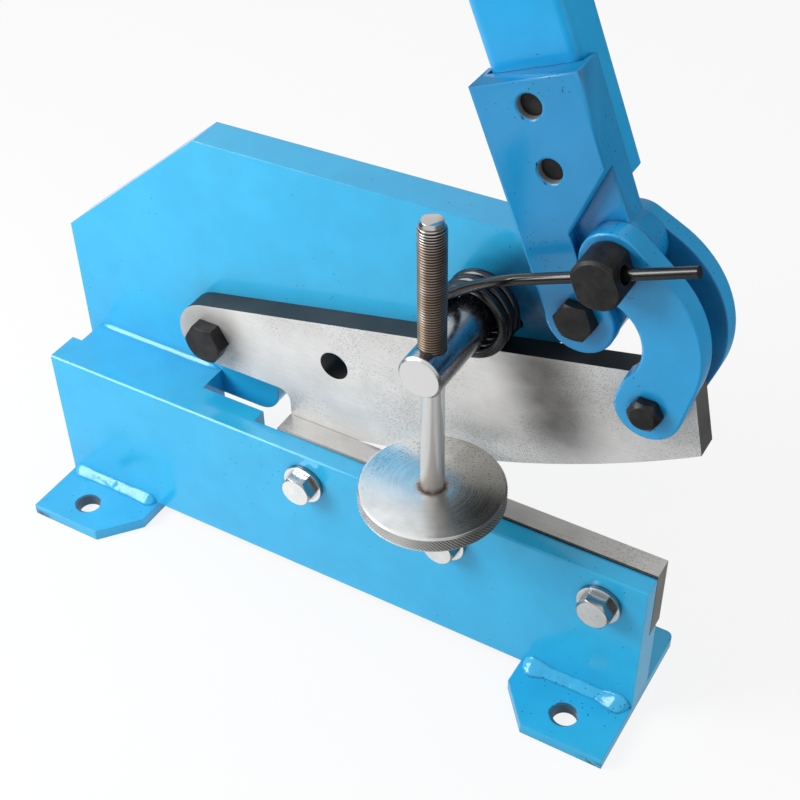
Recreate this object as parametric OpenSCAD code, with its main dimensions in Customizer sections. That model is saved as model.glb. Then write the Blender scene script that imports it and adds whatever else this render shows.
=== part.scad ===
// Bench lever shear: welded frame, two blades, toggle lever, torsion return spring and sheet hold-down.
// Millimetres, +Z up, front towards -Y. The origin is the centre of the bench bolt pattern on the bench.

/* [Beam and feet] */
// Length of the lower beam
beam_l = 335; // [320:1:380]
// Thickness of the lower beam, front to rear
beam_t = 18; // [16:0.5:24]
// Height of the beam's top edge above the bench
beam_top = 86; // [82:0.5:96]
// Bevel along the beam's front top edge
beam_bevel = 0.8; // [0.4:0.1:2]
// Thickness of each foot plate
foot_t = 6; // [5:0.5:10]
// Width of each foot along the beam
foot_w = 58; // [50:1:70]
// Depth of each foot, front to rear
foot_d = 86; // [76:1:100]
// Distance of the bench bolt holes from a foot's outer end
foot_hole_in = 25.4; // [20:0.1:30]
// Distance of the bench bolt holes from a foot's front and rear edges
foot_hole_edge = 15; // [12:0.5:18]
// Diameter of the bench bolt holes
foot_hole_d = 12; // [9:0.5:14]
// Bevel of each foot's inner front corner, along the beam
foot_bevel_x = 16.5; // [10:0.5:22]
// Bevel of each foot's inner front corner, front to rear
foot_bevel_y = 20; // [10:0.5:24]
// Corner radius of each foot's outer rear corner
foot_corner_r = 4; // [2:0.5:8]
// Leg of the weld beads on the feet
weld_leg = 5; // [3:0.5:7]
// Leg of the weld bead along the spacer block's top
seam_leg = 2; // [1.5:0.5:4]

/* [Blades] */
// Thickness of both blades
blade_t = 12; // [10:0.5:16]
// Length of the fixed lower blade
blade_l = 200; // [180:1:220]
// Height of the fixed lower blade
blade_h = 39; // [34:0.5:46]
// Height that the lower blade stands above the beam's lip
blade_proud = 1; // [0.5:0.1:3]
// Thickness of the beam's lip in front of the lower blade
lip_t = 10; // [8:0.5:12]
// Free run of the rabbet past the lower blade's left end
rabbet_run = 13.5; // [8:0.5:20]
// Distance of the outer blade bolts from the lower blade's ends
blade_bolt_in = 21.5; // [16:0.5:30]
// Distance of the blade bolts below the beam's top edge
blade_bolt_drop = 17; // [14:0.5:20]
// Gap between the cutting faces
shear_gap = 0.2; // [0.1:0.05:0.4]
// Gap between sliding flat faces
side_gap = 0.2; // [0.1:0.05:0.4]
// Slope of the upper blade's top edge at rest, in degrees
blade_slope = 12.4; // [10:0.1:14]
// Radius of the upper blade's round end about its pivot
blade_eye_r = 18.5; // [16:0.5:20]
// Distance from the upper blade's pivot to its right end, along the top edge
blade_reach = 253; // [240:1:262]
// Radius of the curved cutting edge
edge_r = 486.6; // [450:0.2:540]
// Place of the cutting edge's centre from the pivot, along the beam
edge_dx = -8.7; // [-14:0.1:-4]
// Lowest point of the curved edge below the pivot
edge_drop = 40; // [36:0.5:44]
// Distance from the pivot down to the blade's lower left edge
waist_drop = 16.3; // [14:0.1:18]
// Distance from the pivot to the left side of the blade's heel
heel_dx = 45; // [40:0.5:52]
// Radius in the corner above the heel
heel_r = 6.5; // [4:0.5:9]
// Diameter of the hole for cutting round bar
bar_hole_d = 15; // [10:0.5:18]
// Place of the round-bar hole from the blade pivot, along the beam
bar_hole_dx = 72; // [64:0.5:80]
// Place of the round-bar hole above the blade pivot
bar_hole_dz = 10.7; // [6:0.1:13]

/* [Back plate] */
// Thickness of the back plate
plate_t = 19; // [16:0.5:22]
// Overhang of the back plate past the beam's left end
plate_overhang = 2; // [0:0.5:6]
// Height of the back plate's lower edge above the bench
plate_bottom = 71; // [66:0.5:76]
// Height of the back plate's left edge
plate_left_top = 147.5; // [130:0.5:165]
// Length of the bevelled upper left corner, along the beam
plate_bevel = 86; // [60:1:110]
// Slope of the back plate's top edge, in degrees
plate_slope = 1.6; // [0:0.1:3]
// Radius of the back plate's nose
nose_r = 17.2; // [15:0.1:18]
// Height of the nose's centre above the lever pivot
nose_rise = 1.7; // [0:0.1:2]
// Place of the plate's lower corner from the blade pivot, along the beam
throat_dx = 87; // [80:0.5:92]
// Drop of the plate's lower corner below the blade pivot
throat_drop = 12; // [8:0.5:13]
// Distance from the blade pivot to the tongue's right edge
tongue_dx = 28.8; // [26:0.1:36]
// Drop of the tongue's upper corner below the blade pivot
tongue_drop = 22; // [20:0.5:26]
// Radius of the tongue's lower corner
tongue_r = 12; // [8:0.5:14]
// Distance of the spacer block from the beam's left end
spacer_in = 6; // [2:0.5:10]
// Distance from the spacer block to the lower blade
spacer_gap = 50.5; // [44:0.5:58]
// Height of the spacer block
spacer_h = 46; // [36:1:60]

/* [Pivots and linkage] */
// Distance from the blade pivot to the lower blade's left end
pivot_in = 44.5; // [40:0.5:50]
// Height of the blade pivot above the beam's top edge
pivot_rise = 32; // [30:0.5:36]
// Place of the lever pivot from the blade pivot, along the beam
lever_dx = 194; // [188:0.5:200]
// Place of the lever pivot above the blade pivot
lever_dz = 89; // [85:0.5:93]
// Diameter of the blade's pivot bolt
pivot_d = 12; // [10:0.5:13]
// Width across flats of the blade pivot bolt's head and nut
pivot_af = 19; // [17:0.5:21]
// Height of the blade pivot bolt's head
pivot_head = 7.5; // [6:0.5:9]
// Height of the blade pivot bolt's lock nut
pivot_nut = 12; // [9:0.5:14]
// Diameter of the lever's pivot bolt
lever_bolt_d = 10; // [8:0.5:12]
// Width across flats of the lever pivot bolt's head and nut
lever_bolt_af = 16; // [15:0.5:18]
// Height of the lever pivot bolt's head
lever_bolt_head = 5; // [4:0.5:7]
// Height of the lever pivot bolt's lock nut
lever_nut_h = 10; // [8:0.5:12]
// Thickness of the front link
link_t = 10; // [8:0.5:12]
// Thickness of the rear link
rear_link_t = 8; // [6:0.5:12]
// Radius of the front link's upper eye
link_top_r = 14; // [12:0.5:15]
// Radius of the rear link's upper eye
rear_link_top_r = 12.5; // [11:0.5:15]
// Radius of the links' lower eyes
link_low_r = 14.5; // [13:0.5:16]
// Place of the links' lower eye from the upper one, along the beam at rest
link_dx = 21; // [19:0.5:23]
// Drop of the links' lower eye below the upper one at rest
link_drop = 64; // [62:0.5:67]
// Distance from the line of the eyes to the links' bow centre
link_bow = 16.5; // [15:0.5:18]
// Inner radius of the links' bow
link_in_r = 21; // [20:0.5:23]
// Outer radius of the front link's bow
link_out_r = 46; // [44:0.5:48]
// Outer radius of the rear link's bow
rear_link_out_r = 48; // [44:0.5:49]
// Diameter of the bolt through links and blade
link_bolt_d = 8; // [6:0.5:9]
// Width across flats of the link bolt's head and nut
link_bolt_af = 13; // [11:0.5:14]
// Height of the link bolt's head
link_bolt_head = 5.5; // [4:0.5:7]
// Height of the bevel on the link bolt's head
link_bolt_bevel = 2; // [1:0.25:2.5]
// Height of the link bolt's lock nut
link_nut_h = 8; // [6:0.5:9]
// Diameter of the anchor pin in the lever's eye
anchor_d = 12; // [10:0.5:13]
// Diameter of the anchor pin's head
anchor_head_d = 22; // [20:0.5:24]
// Width across the two flats of the anchor pin's head
anchor_flats = 18; // [16:0.5:19]
// Length of the anchor pin's head
anchor_head_l = 15.5; // [14:0.5:18]
// Bevel of the anchor pin's head
anchor_bevel = 1.2; // [0.5:0.1:2]
// Diameter of the anchor pin's thread behind the links
anchor_thread_d = 10; // [8:0.5:11]
// Width across flats of the thin nut behind the links
anchor_nut_af = 16; // [14:0.5:17]
// Height of the thin nut behind the links
anchor_nut_h = 5; // [4:0.5:6]
// Diameter of the hole across the anchor pin's head
anchor_hole_d = 8; // [7:0.5:9]
// Distance from the anchor head's front face to its cross hole
anchor_hole_in = 8.5; // [7:0.5:9]

/* [Lever] */
// Lean of the raised lever to the left, in degrees
lean = 22; // [18:0.5:26]
// Radius of the lever's pivot boss
boss_r = 15.5; // [14.5:0.5:17]
// Distance of the boss's centre below the pivot, along the lever
boss_drop = 2; // [0:0.5:3]
// Step from the slab's boss in to the web's
boss_step = 0.6; // [0.4:0.1:1]
// Radius of the lever's eye
eye_r = 14; // [12.5:0.5:15]
// Place of the lever's eye from the pivot, across the lever
eye_u = 25.3; // [24:0.1:27]
// Place of the lever's eye from the pivot, along the lever
eye_v = 25.4; // [24:0.1:27]
// Distance from the pivot to the casting's left side
cast_left = 14.8; // [13:0.2:16]
// Distance from the pivot to the casting's right side
cast_right = 32; // [31:0.2:36]
// Distance from the pivot to the casting's top
cast_top = 101; // [94:0.5:112]
// Height that the casting's front slab stands out from its web
slab_rise = 5.2; // [4:0.2:7]
// Place along the lever where the slab's step starts on the right side
step_v = 62; // [58:0.5:66]
// Distance along the lever from the eye up to the step's inner corner
step_rise = 11.5; // [9:0.5:13]
// Gap between the slab's step and the links' upper eye
step_gap = 3.3; // [2.5:0.1:4]
// Depth of the channel for the handle
channel_depth = 6.2; // [5:0.2:8]
// Place along the lever of the handle's lower end
handle_v = 50; // [48:0.5:54]
// Width of the handle tube
tube_w = 41; // [38:0.5:42]
// Depth of the handle tube, front to rear
tube_d = 23; // [20:0.5:26]
// Outer corner radius of the handle tube
tube_r = 5; // [4:0.5:7]
// Wall of the handle tube
tube_wall = 2; // [1.5:0.25:3]
// Length of the handle tube
tube_l = 420; // [300:5:600]
// Diameter of the handle bolts
handle_bolt_d = 10; // [8:0.5:11]
// Width across flats of the handle bolts' heads
handle_bolt_af = 16; // [14:0.5:17]
// Height of the handle bolts' heads
handle_bolt_head = 6.5; // [5:0.5:8]
// Place along the lever of the lower handle bolt
handle_bolt_v = 64; // [62:0.5:67]
// Spacing of the handle bolts
handle_bolt_step = 26.5; // [22:0.5:30]
// Depth that the handle bolts' ends stay below the slab's front
handle_bolt_recess = 3; // [1:0.5:5]
// Length of the end plug inside the tube
plug_l = 18; // [10:1:30]
// Thickness of the end plug's cap
plug_cap = 3; // [2:0.5:5]

/* [Spring and hold-down] */
// Wire diameter of the return spring
wire_d = 4.7; // [3.8:0.1:4.9]
// Mean radius of the spring's curls
coil_r = 15.5; // [14.5:0.1:15.7]
// Number of curls, in eighths
coil_eighths = 28; // [20:1:30]
// Gap between the curls
coil_gap = 0.55; // [0.5:0.05:0.8]
// Angle at which the arm leaves the front curl, in degrees
coil_leave = 130; // [120:1:140]
// Bend radius of the wire at the back plate
tail_bend = 3.9; // [3.5:0.1:5]
// Length of the wire's end inside the back plate
tail_l = 8; // [6:0.5:10]
// Slope of the spring arm at rest, in degrees
arm_slope = 22; // [20:0.5:26]
// Straight length of the spring arm before the anchor pin
arm_straight = 38; // [30:1:44]
// Length of the spring arm past the anchor pin
arm_past = 39; // [30:1:50]
// Diameter of the hold-down post
post_d = 20; // [16:0.5:22]
// Place of the post from the lever pivot, along the beam
post_dx = -47.3; // [-50:0.1:-45]
// Drop of the post below the lever pivot
post_drop = 18.4; // [17:0.1:19.5]
// Reach of the post in front of the back plate
post_reach = 62.4; // [58:0.2:72]
// Bevel of the post's front end
post_bevel = 1; // [0.5:0.25:2]
// Diameter of the post's stud through the back plate
stud_d = 14; // [12:0.5:15]
// Width across flats of the post's nut
stud_af = 22; // [20:0.5:24]
// Height of the post's nut
stud_nut = 11; // [9:0.5:13]
// Distance of the spindle from the post's front end
spindle_in = 11; // [10:0.5:14]
// Thread diameter of the spindle
spindle_d = 12; // [10:0.5:13]
// Diameter of the spindle's plain shank
shank_d = 10.8; // [8.5:0.1:11.2]
// Height of the spindle above the post's top
spindle_rise = 59.5; // [50:0.5:80]
// Length of the spindle's tapered top
spindle_taper = 4; // [3:0.5:9]
// Diameter of the knurled disc
disc_d = 66; // [58:0.5:72]
// Thickness of the knurled disc
disc_t = 8; // [6:0.5:10]
// Bevel of the disc's edges
disc_bevel = 0.8; // [0.4:0.1:1.5]
// Clear height between lower blade and disc at rest
disc_lift = 25; // [20:0.5:32]

/* [Blade bolts] */
// Diameter of the lower blade's bolts
flange_bolt_d = 10; // [8:0.5:11]
// Width across flats of the flange bolts' heads
flange_bolt_af = 15; // [13:0.5:16]
// Diameter of the flange on each bolt
flange_d = 21; // [19:0.5:23]
// Thickness of the flange on each bolt
flange_t = 2.5; // [1.5:0.25:3]
// Height of the hexagon above the flange
flange_bolt_head = 6.5; // [5:0.5:8]
// Distance of the bolts' ends below the lower blade's cutting face
bolt_short = 1; // [0.5:0.5:3]

/* [Hidden] */
$fn = 64;
// Radial play of pins and threads in their bores
fit = 0.05;
// Height of the bevel on hexagon heads
hex_bevel = 1;
// Depth that joined solids of one piece run into each other
overlap = 0.5;
// Distance that a cut runs past the faces it opens
cut_past = 1;
// Radial play of the lower blade's bolts in the beam
bolt_play = 0.5;
// Play of the spring's end in the back plate
tail_play = 0.4;
// Width of the spindle's tip as a share of its thread
tip_share = 0.75;
// Distance of the thread's lower end above the post's underside
thread_in = 1;
// Free thread past a nut
thread_past = 2;
// Play of the bolt in the blade's slot, beyond the links' own travel
slot_play = 0.95;
// Direction and travel of the link bolt in the blade's slot
slot_deg = 22;
slot_from = -1.8;
slot_to = 11.5;
slot_side = 0.7;

// Layers from front to rear
y_front = -beam_t / 2;
y_seat = y_front + lip_t;
y_cut = y_seat + blade_t;
y_web = y_cut + shear_gap;
y_web_rear = y_web + blade_t;
y_plate = y_web_rear + side_gap;
y_plate_rear = y_plate + plate_t;
y_slab = y_web - slab_rise;
y_link_front = y_web - side_gap - link_t;
y_link_rear = y_plate + rear_link_t;
y_tube = y_web_rear - channel_depth;
y_post = y_plate - post_reach;
y_spindle = y_post + spindle_in;
y_anchor_hole = y_link_front - side_gap - anchor_head_l + anchor_hole_in;

// Places along the beam and heights
x_left = -beam_l / 2;
x_right = beam_l / 2;
x_blade = x_right - blade_l;
blade_top = beam_top + blade_proud;
blade_bottom = blade_top - blade_h;
spacer_right = x_blade - spacer_gap;
spacer_bottom = beam_top - spacer_h;
pivot_a = [x_blade - pivot_in, beam_top + pivot_rise];
pivot_b = pivot_a + [lever_dx, lever_dz];
pivot_c = pivot_b + turned([eye_u, eye_v], lean);
pivot_d_low = pivot_c + [link_dx, -link_drop];
post_at = pivot_b + [post_dx, -post_drop];
bar_hole = pivot_a + [bar_hole_dx, bar_hole_dz];
disc_bottom = blade_top + disc_lift;
post_top = post_at[1] + post_d / 2;
handle_u = (cast_right - cast_left) / 2;
coil_pitch = wire_d + coil_gap;
y_coil_rear = y_plate - tail_bend;
y_coil_front = y_coil_rear - coil_eighths / 8 * coil_pitch;

// A flat vector turned anticlockwise by an angle, seen from the front
function turned(v, a) = [v[0] * cos(a) - v[1] * sin(a), v[0] * sin(a) + v[1] * cos(a)];
// A unit vector
function unit(v) = v / norm(v);

// An outline of the front view as a plate between two depths
module along_y(y0, y1) {
    translate([0, y1, 0]) rotate([90, 0, 0]) linear_extrude(height = y1 - y0) children();
}

// A round rod across the beam
module rod(at, d, y0, y1) {
    translate([at[0], y1, at[1]]) rotate([90, 0, 0]) cylinder(d = d, h = y1 - y0);
}

// A hexagon across the beam with bevelled corners on its outer end, which faces the front or the rear
module hexagon(at, af, y0, y1, to_front, bevel = hex_bevel) {
    corner_d = af / cos(30);
    h = y1 - y0;
    translate([at[0], to_front ? y1 : y0, at[1]]) rotate([to_front ? 90 : -90, 0, 0]) intersection() {
        cylinder(d = corner_d, h = h, $fn = 6);
        union() {
            cylinder(d = corner_d + 1, h = h - bevel);
            translate([0, 0, h - bevel])
                cylinder(d1 = corner_d, d2 = af - 0.5 - 2 * (bevel - hex_bevel), h = bevel);
        }
    }
}

// A bolt with its head towards the front
module bolt(at, d, af, head, y_head, y_end, bevel = hex_bevel) {
    hexagon(at, af, y_head - head, y_head, true, bevel);
    rod(at, d, y_head - overlap, y_end);
}

// A nut whose bore takes a thread
module nut(at, d, af, y0, h) {
    difference() {
        hexagon(at, af, y0, y0 + h, false);
        rod(at, d + 2 * fit, y0 - cut_past, y0 + h + cut_past);
    }
}

// A rectangle with round corners about its centre
module round_rect(w, h, r) {
    square([w - 2 * r, h], center = true);
    square([w, h - 2 * r], center = true);
    for (sx = [-1, 1], sy = [-1, 1]) translate([sx * (w / 2 - r), sy * (h / 2 - r)]) circle(r = r);
}

// A quarter-round weld bead along the beam, in the corner of two faces
module bead(x0, x1, y, z, leg, sy, sz) {
    translate([x0, y, z]) rotate([90, 0, 90]) linear_extrude(height = x1 - x0) intersection() {
        circle(r = leg, $fn = 32);
        translate([sy < 0 ? -leg : 0, sz < 0 ? -leg : 0]) square(leg);
    }
}

// The lever's own outline plane, placed and leaned about its pivot
module on_lever() {
    translate(pivot_b) rotate(lean) children();
}

module back_plate() {
    corner = pivot_a + [throat_dx, -throat_drop];
    tongue = pivot_a + [tongue_dx, -tongue_drop];
    nose = pivot_b + [0, nose_rise];
    away = nose - corner;
    far = norm(away);
    tangent_deg = atan2(away[1], away[0]) - asin(nose_r / far);
    tangent = corner + sqrt(far * far - nose_r * nose_r) * [cos(tangent_deg), sin(tangent_deg)];
    bevel_x = x_left - plate_overhang + plate_bevel;
    top_end = nose + turned([0, nose_r], plate_slope);
    top_start = [bevel_x, top_end[1] - (top_end[0] - bevel_x) * tan(plate_slope)];
    color("DodgerBlue") difference() {
        union() {
            along_y(y_plate, y_plate_rear) polygon([
                [x_left - plate_overhang, plate_bottom], [x_left - plate_overhang, plate_left_top],
                top_start, top_end, nose, tangent, corner, tongue, [tongue[0], plate_bottom + tongue_r],
                [tongue[0] - tongue_r, plate_bottom]]);
            rod(nose, 2 * nose_r, y_plate, y_plate_rear);
            rod([tongue[0] - tongue_r, plate_bottom + tongue_r], 2 * tongue_r, y_plate, y_plate_rear);
        }
        rod(pivot_a, pivot_d + 2 * fit, y_plate - cut_past, y_plate_rear + cut_past);
        rod(pivot_b, lever_bolt_d + 2 * fit, y_plate - cut_past, y_plate_rear + cut_past);
        rod(post_at, stud_d + 2 * fit, y_plate - cut_past, y_plate_rear + cut_past);
        rod(bar_hole, bar_hole_d, y_plate - cut_past, y_plate_rear + cut_past);
        rod(tail_start, wire_d + 2 * tail_play, y_plate - cut_past, y_plate + tail_l + cut_past);
    }
}

module lower_beam() {
    h = beam_top - foot_t;
    color("DodgerBlue") difference() {
        translate([x_left, 0, foot_t]) rotate([90, 0, 90]) linear_extrude(height = beam_l)
            polygon([[y_front, 0], [-y_front, 0], [-y_front, h], [y_front + beam_bevel, h],
                [y_front, h - beam_bevel]]);
        translate([x_blade - rabbet_run, y_seat, blade_bottom])
            cube([blade_l + rabbet_run + cut_past, beam_t, blade_h + cut_past]);
        for (at = blade_bolt_places())
            rod(at, flange_bolt_d + 2 * bolt_play, y_front - cut_past, y_seat + cut_past);
    }
}

// The places of the lower blade's bolts in the front view
function blade_bolt_places() =
    [for (x = [x_blade + blade_bolt_in, x_right - blade_l / 2, x_right - blade_bolt_in])
        [x, beam_top - blade_bolt_drop]];

module spacer_block() {
    color("DodgerBlue") translate([x_left + spacer_in, -y_front, spacer_bottom])
        cube([spacer_right - x_left - spacer_in, y_plate + y_front, spacer_h]);
}

// A foot with its outer end on the left, before it is placed
module foot() {
    linear_extrude(height = foot_t) difference() {
        union() {
            polygon([[0, -foot_d / 2], [foot_w - foot_bevel_x, -foot_d / 2], [foot_w, -foot_d / 2 + foot_bevel_y],
                [foot_w, foot_d / 2], [foot_corner_r, foot_d / 2], [0, foot_d / 2 - foot_corner_r]]);
            translate([foot_corner_r, foot_d / 2 - foot_corner_r]) circle(r = foot_corner_r);
        }
        for (s = [-1, 1]) translate([foot_hole_in, s * (foot_d / 2 - foot_hole_edge)]) circle(d = foot_hole_d);
    }
}

module left_foot() {
    color("DodgerBlue") translate([x_left, 0, 0]) foot();
}

module right_foot() {
    color("DodgerBlue") translate([x_right, 0, 0]) mirror([1, 0, 0]) foot();
}

module weld_beads() {
    color("SteelBlue") {
        for (x0 = [x_left, x_right - foot_w], sy = [-1, 1])
            bead(x0 + 1, x0 + foot_w - 1, sy * beam_t / 2, foot_t, weld_leg, sy, 1);
        bead(x_left + spacer_in, spacer_right, y_plate, beam_top, seam_leg, -1, 1);
        bead(x_left + spacer_in, spacer_right, y_plate, plate_bottom, weld_leg, 1, -1);
        bead(x_left + spacer_in, spacer_right, -y_front, spacer_bottom, weld_leg, 1, -1);
    }
}

module lower_blade() {
    color("Silver") difference() {
        translate([x_blade, y_seat, blade_bottom]) cube([blade_l, blade_t, blade_h]);
        for (at = blade_bolt_places())
            rod(at, flange_bolt_d + 2 * fit, y_seat - cut_past, y_cut + cut_past);
    }
}

module lower_blade_bolts() {
    color("Gainsboro") for (at = blade_bolt_places()) {
        rod(at, flange_d, y_front - flange_t, y_front);
        hexagon(at, flange_bolt_af, y_front - flange_t - flange_bolt_head, y_front - flange_t, true);
        rod(at, flange_bolt_d, y_front - overlap, y_cut - bolt_short);
    }
}

module upper_blade() {
    top_left = pivot_a + turned([0, blade_eye_r], blade_slope);
    top_right = pivot_a + turned([blade_reach, blade_eye_r], blade_slope);
    end_h = blade_eye_r + (blade_reach * sin(blade_slope) + edge_drop) / cos(blade_slope);
    low_right = top_right - turned([0, end_h], blade_slope);
    heel = pivot_a + [heel_dx, -waist_drop];
    edge_centre = pivot_a + [edge_dx, edge_r - edge_drop];
    color("LightGray") difference() {
        union() {
            along_y(y_web, y_web_rear) intersection() {
                polygon([pivot_a - [0, waist_drop], top_left, top_right, low_right, [heel[0], low_right[1]],
                    heel]);
                translate(edge_centre) circle(r = edge_r, $fn = 360);
            }
            rod(pivot_a, 2 * blade_eye_r, y_web, y_web_rear);
            along_y(y_web, y_web_rear) difference() {
                translate(heel - [heel_r, heel_r]) square(heel_r + 1);
                translate(heel - [heel_r, heel_r]) circle(r = heel_r);
            }
        }
        along_y(y_web - cut_past, y_web_rear + cut_past)
            translate(pivot_a - [2 * blade_eye_r, waist_drop + blade_eye_r])
                square([heel_dx + 2 * blade_eye_r - heel_r, blade_eye_r]);
        along_y(y_web - cut_past, y_web_rear + cut_past)
            translate(pivot_d_low) rotate(slot_deg) translate([0, slot_side])
                slot(slot_from, slot_to, link_bolt_d / 2 + slot_play);
        rod(pivot_a, pivot_d + 2 * fit, y_web - cut_past, y_web_rear + cut_past);
        rod(bar_hole, bar_hole_d, y_web - cut_past, y_web_rear + cut_past);
    }
}

// A slot with round ends between two places along its line
module slot(from, to, r) {
    translate([from, -r]) square([to - from, 2 * r]);
    for (at = [from, to]) translate([at, 0]) circle(r = r);
}

module blade_pivot_bolt() {
    color("DimGray") bolt(pivot_a, pivot_d, pivot_af, pivot_head, y_web - side_gap,
        y_plate_rear + pivot_nut + thread_past);
}

module blade_pivot_nut() {
    color("DimGray") nut(pivot_a, pivot_d, pivot_af, y_plate_rear, pivot_nut);
}

module lever_pivot_bolt() {
    color("DimGray") bolt(pivot_b, lever_bolt_d, lever_bolt_af, lever_bolt_head, y_slab - side_gap,
        y_plate_rear + lever_nut_h + thread_past);
}

module lever_pivot_nut() {
    color("DimGray") nut(pivot_b, lever_bolt_d, lever_bolt_af, y_plate_rear, lever_nut_h);
}

// The raised front of the casting: boss, neck and head, cut back around the links' eye
module slab_outline() {
    eye = [eye_u, eye_v];
    cut_r = link_top_r + step_gap;
    neck_u = eye_u - cut_r;
    boss = [0, -boss_drop];
    difference() {
        union() {
            translate(boss) circle(r = boss_r);
            polygon([[-cast_left, -boss_drop], [-cast_left, cast_top], [cast_right, cast_top],
                [cast_right, step_v], [neck_u, eye_v + step_rise], [neck_u, eye_v], eye / 2, boss]);
        }
        translate(eye) circle(r = cut_r);
    }
}

// The web behind the slab, with the eye for the links
module web_outline() {
    eye = [eye_u, eye_v];
    boss = [0, -boss_drop];
    away = eye - boss;
    web_r = boss_r - boss_step;
    side_deg = atan2(away[1], away[0]) - 90 + asin((web_r - eye_r) / norm(away));
    side = [cos(side_deg), sin(side_deg)];
    translate(boss) circle(r = web_r);
    translate(eye) circle(r = eye_r);
    polygon([[-cast_left, -boss_drop], [-cast_left, cast_top], [cast_right, cast_top], [cast_right, eye_v],
        eye + eye_r * side, boss + web_r * side, boss]);
}

module lever_casting() {
    color("DodgerBlue") difference() {
        union() {
            along_y(y_slab, y_web + overlap) on_lever() slab_outline();
            along_y(y_web, y_web_rear) on_lever() web_outline();
        }
        along_y(y_tube, y_web_rear + cut_past) on_lever()
            translate([handle_u - tube_w / 2 - side_gap, handle_v - side_gap])
                square([tube_w + 2 * side_gap, cast_top]);
        rod(pivot_b, lever_bolt_d + 2 * fit, y_slab - cut_past, y_web_rear + cut_past);
        rod(pivot_c, anchor_d + 2 * fit, y_slab - cut_past, y_web_rear + cut_past);
        for (at = handle_bolt_places()) rod(at, handle_bolt_d + 2 * fit, y_slab - cut_past, y_web_rear + cut_past);
    }
}

// The places of the handle bolts in the front view
function handle_bolt_places() = [for (k = [0, 1])
    pivot_b + turned([handle_u, handle_bolt_v + k * handle_bolt_step], lean)];

// A prism along the handle, from one place along the lever to another
module along_handle(v0, v1) {
    translate([pivot_b[0], y_tube + tube_d / 2, pivot_b[1]]) rotate([0, -lean, 0]) translate([handle_u, 0, v0])
        linear_extrude(height = v1 - v0) children();
}

module handle_tube() {
    color("DodgerBlue") difference() {
        along_handle(handle_v, handle_v + tube_l) difference() {
            round_rect(tube_w, tube_d, tube_r);
            round_rect(tube_w - 2 * tube_wall, tube_d - 2 * tube_wall, tube_r - tube_wall);
        }
        for (at = handle_bolt_places())
            rod(at, handle_bolt_d + 2 * fit, y_tube - cut_past, y_tube + tube_d + cut_past);
    }
}

module handle_bolts() {
    y_head = y_tube + tube_d;
    color("DimGray") for (at = handle_bolt_places()) {
        hexagon(at, handle_bolt_af, y_head, y_head + handle_bolt_head, false);
        rod(at, handle_bolt_d, y_slab + handle_bolt_recess, y_head + overlap);
    }
}

module handle_plug() {
    top = handle_v + tube_l;
    inset = 2 * (tube_wall + fit);
    color("DarkSlateGray") {
        along_handle(top, top + plug_cap) round_rect(tube_w, tube_d, tube_r);
        along_handle(top - plug_l, top + overlap)
            round_rect(tube_w - inset, tube_d - inset, tube_r - tube_wall - fit);
    }
}

// The bowed outline of a link, with both eyes
module link_outline(top_r, out_r) {
    span = pivot_d_low - pivot_c;
    side = unit([span[1], -span[0]]);
    centre = (pivot_c + pivot_d_low) / 2 + link_bow * side;
    reach = 2 * out_r;
    to_top = unit(pivot_c - centre);
    to_low = unit(pivot_d_low - centre);
    difference() {
        union() {
            translate(pivot_c) circle(r = top_r);
            translate(pivot_d_low) circle(r = link_low_r);
            intersection() {
                difference() {
                    translate(centre) circle(r = out_r);
                    translate(centre) circle(r = link_in_r);
                }
                polygon([centre, centre + reach * to_low, centre + reach * (to_low - side),
                    centre + reach * (to_top - side), centre + reach * to_top]);
            }
        }
        translate(pivot_c) circle(d = anchor_d + 2 * fit);
        translate(pivot_d_low) circle(d = link_bolt_d + 2 * fit);
    }
}

module front_link() {
    color("DodgerBlue") along_y(y_link_front, y_link_front + link_t) link_outline(link_top_r, link_out_r);
}

module rear_link() {
    color("DodgerBlue") along_y(y_plate, y_link_rear) link_outline(rear_link_top_r, rear_link_out_r);
}

module link_bolt() {
    color("DimGray") bolt(pivot_d_low, link_bolt_d, link_bolt_af, link_bolt_head, y_link_front,
        y_link_rear + link_nut_h + thread_past, link_bolt_bevel);
}

module link_nut() {
    color("DimGray") nut(pivot_d_low, link_bolt_d, link_bolt_af, y_link_rear, link_nut_h);
}

module anchor_pin() {
    y_head = y_link_front - side_gap;
    y_bevel = y_head - anchor_head_l + anchor_bevel;
    color("DimGray") difference() {
        union() {
            intersection() {
                union() {
                    rod(pivot_c, anchor_head_d, y_bevel, y_head);
                    translate([pivot_c[0], y_bevel, pivot_c[1]]) rotate([90, 0, 0])
                        cylinder(d1 = anchor_head_d, d2 = anchor_head_d - 2 * anchor_bevel, h = anchor_bevel);
                }
                along_y(y_bevel - 2 * anchor_bevel, y_head + 1) translate(pivot_c) rotate(arm_slope)
                    square([anchor_flats, 2 * anchor_head_d], center = true);
            }
            rod(pivot_c, anchor_d, y_head - overlap, y_link_rear + side_gap);
            rod(pivot_c, anchor_thread_d, y_link_rear, y_link_rear + side_gap + anchor_nut_h);
        }
        translate([pivot_c[0], y_anchor_hole, pivot_c[1]]) rotate([0, 90 - arm_slope, 0])
            cylinder(d = anchor_hole_d, h = 2 * anchor_head_d, center = true);
    }
}

module anchor_nut() {
    color("DimGray") nut(pivot_c, anchor_thread_d, anchor_nut_af, y_link_rear + side_gap, anchor_nut_h);
}

// The spring's wire: a tail in the plate, the curls about the post, and the arm through the anchor pin
function coil_deg(k) = coil_leave + 45 * k;
function coil_point(k, r) = post_at + r * [cos(coil_deg(k)), sin(coil_deg(k))];
function coil_heading(k) = [sin(coil_deg(k)), -cos(coil_deg(k))];
function deep(p, y) = [p[0], y, p[1]];
function between(a, b, s) = a + s * (b - a);
// A smooth bend between two straight stretches
function bend(p0, p1, p2, p3, s) = pow(1 - s, 3) * p0 + 3 * s * pow(1 - s, 2) * p1
    + 3 * s * s * (1 - s) * p2 + pow(s, 3) * p3;

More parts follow.
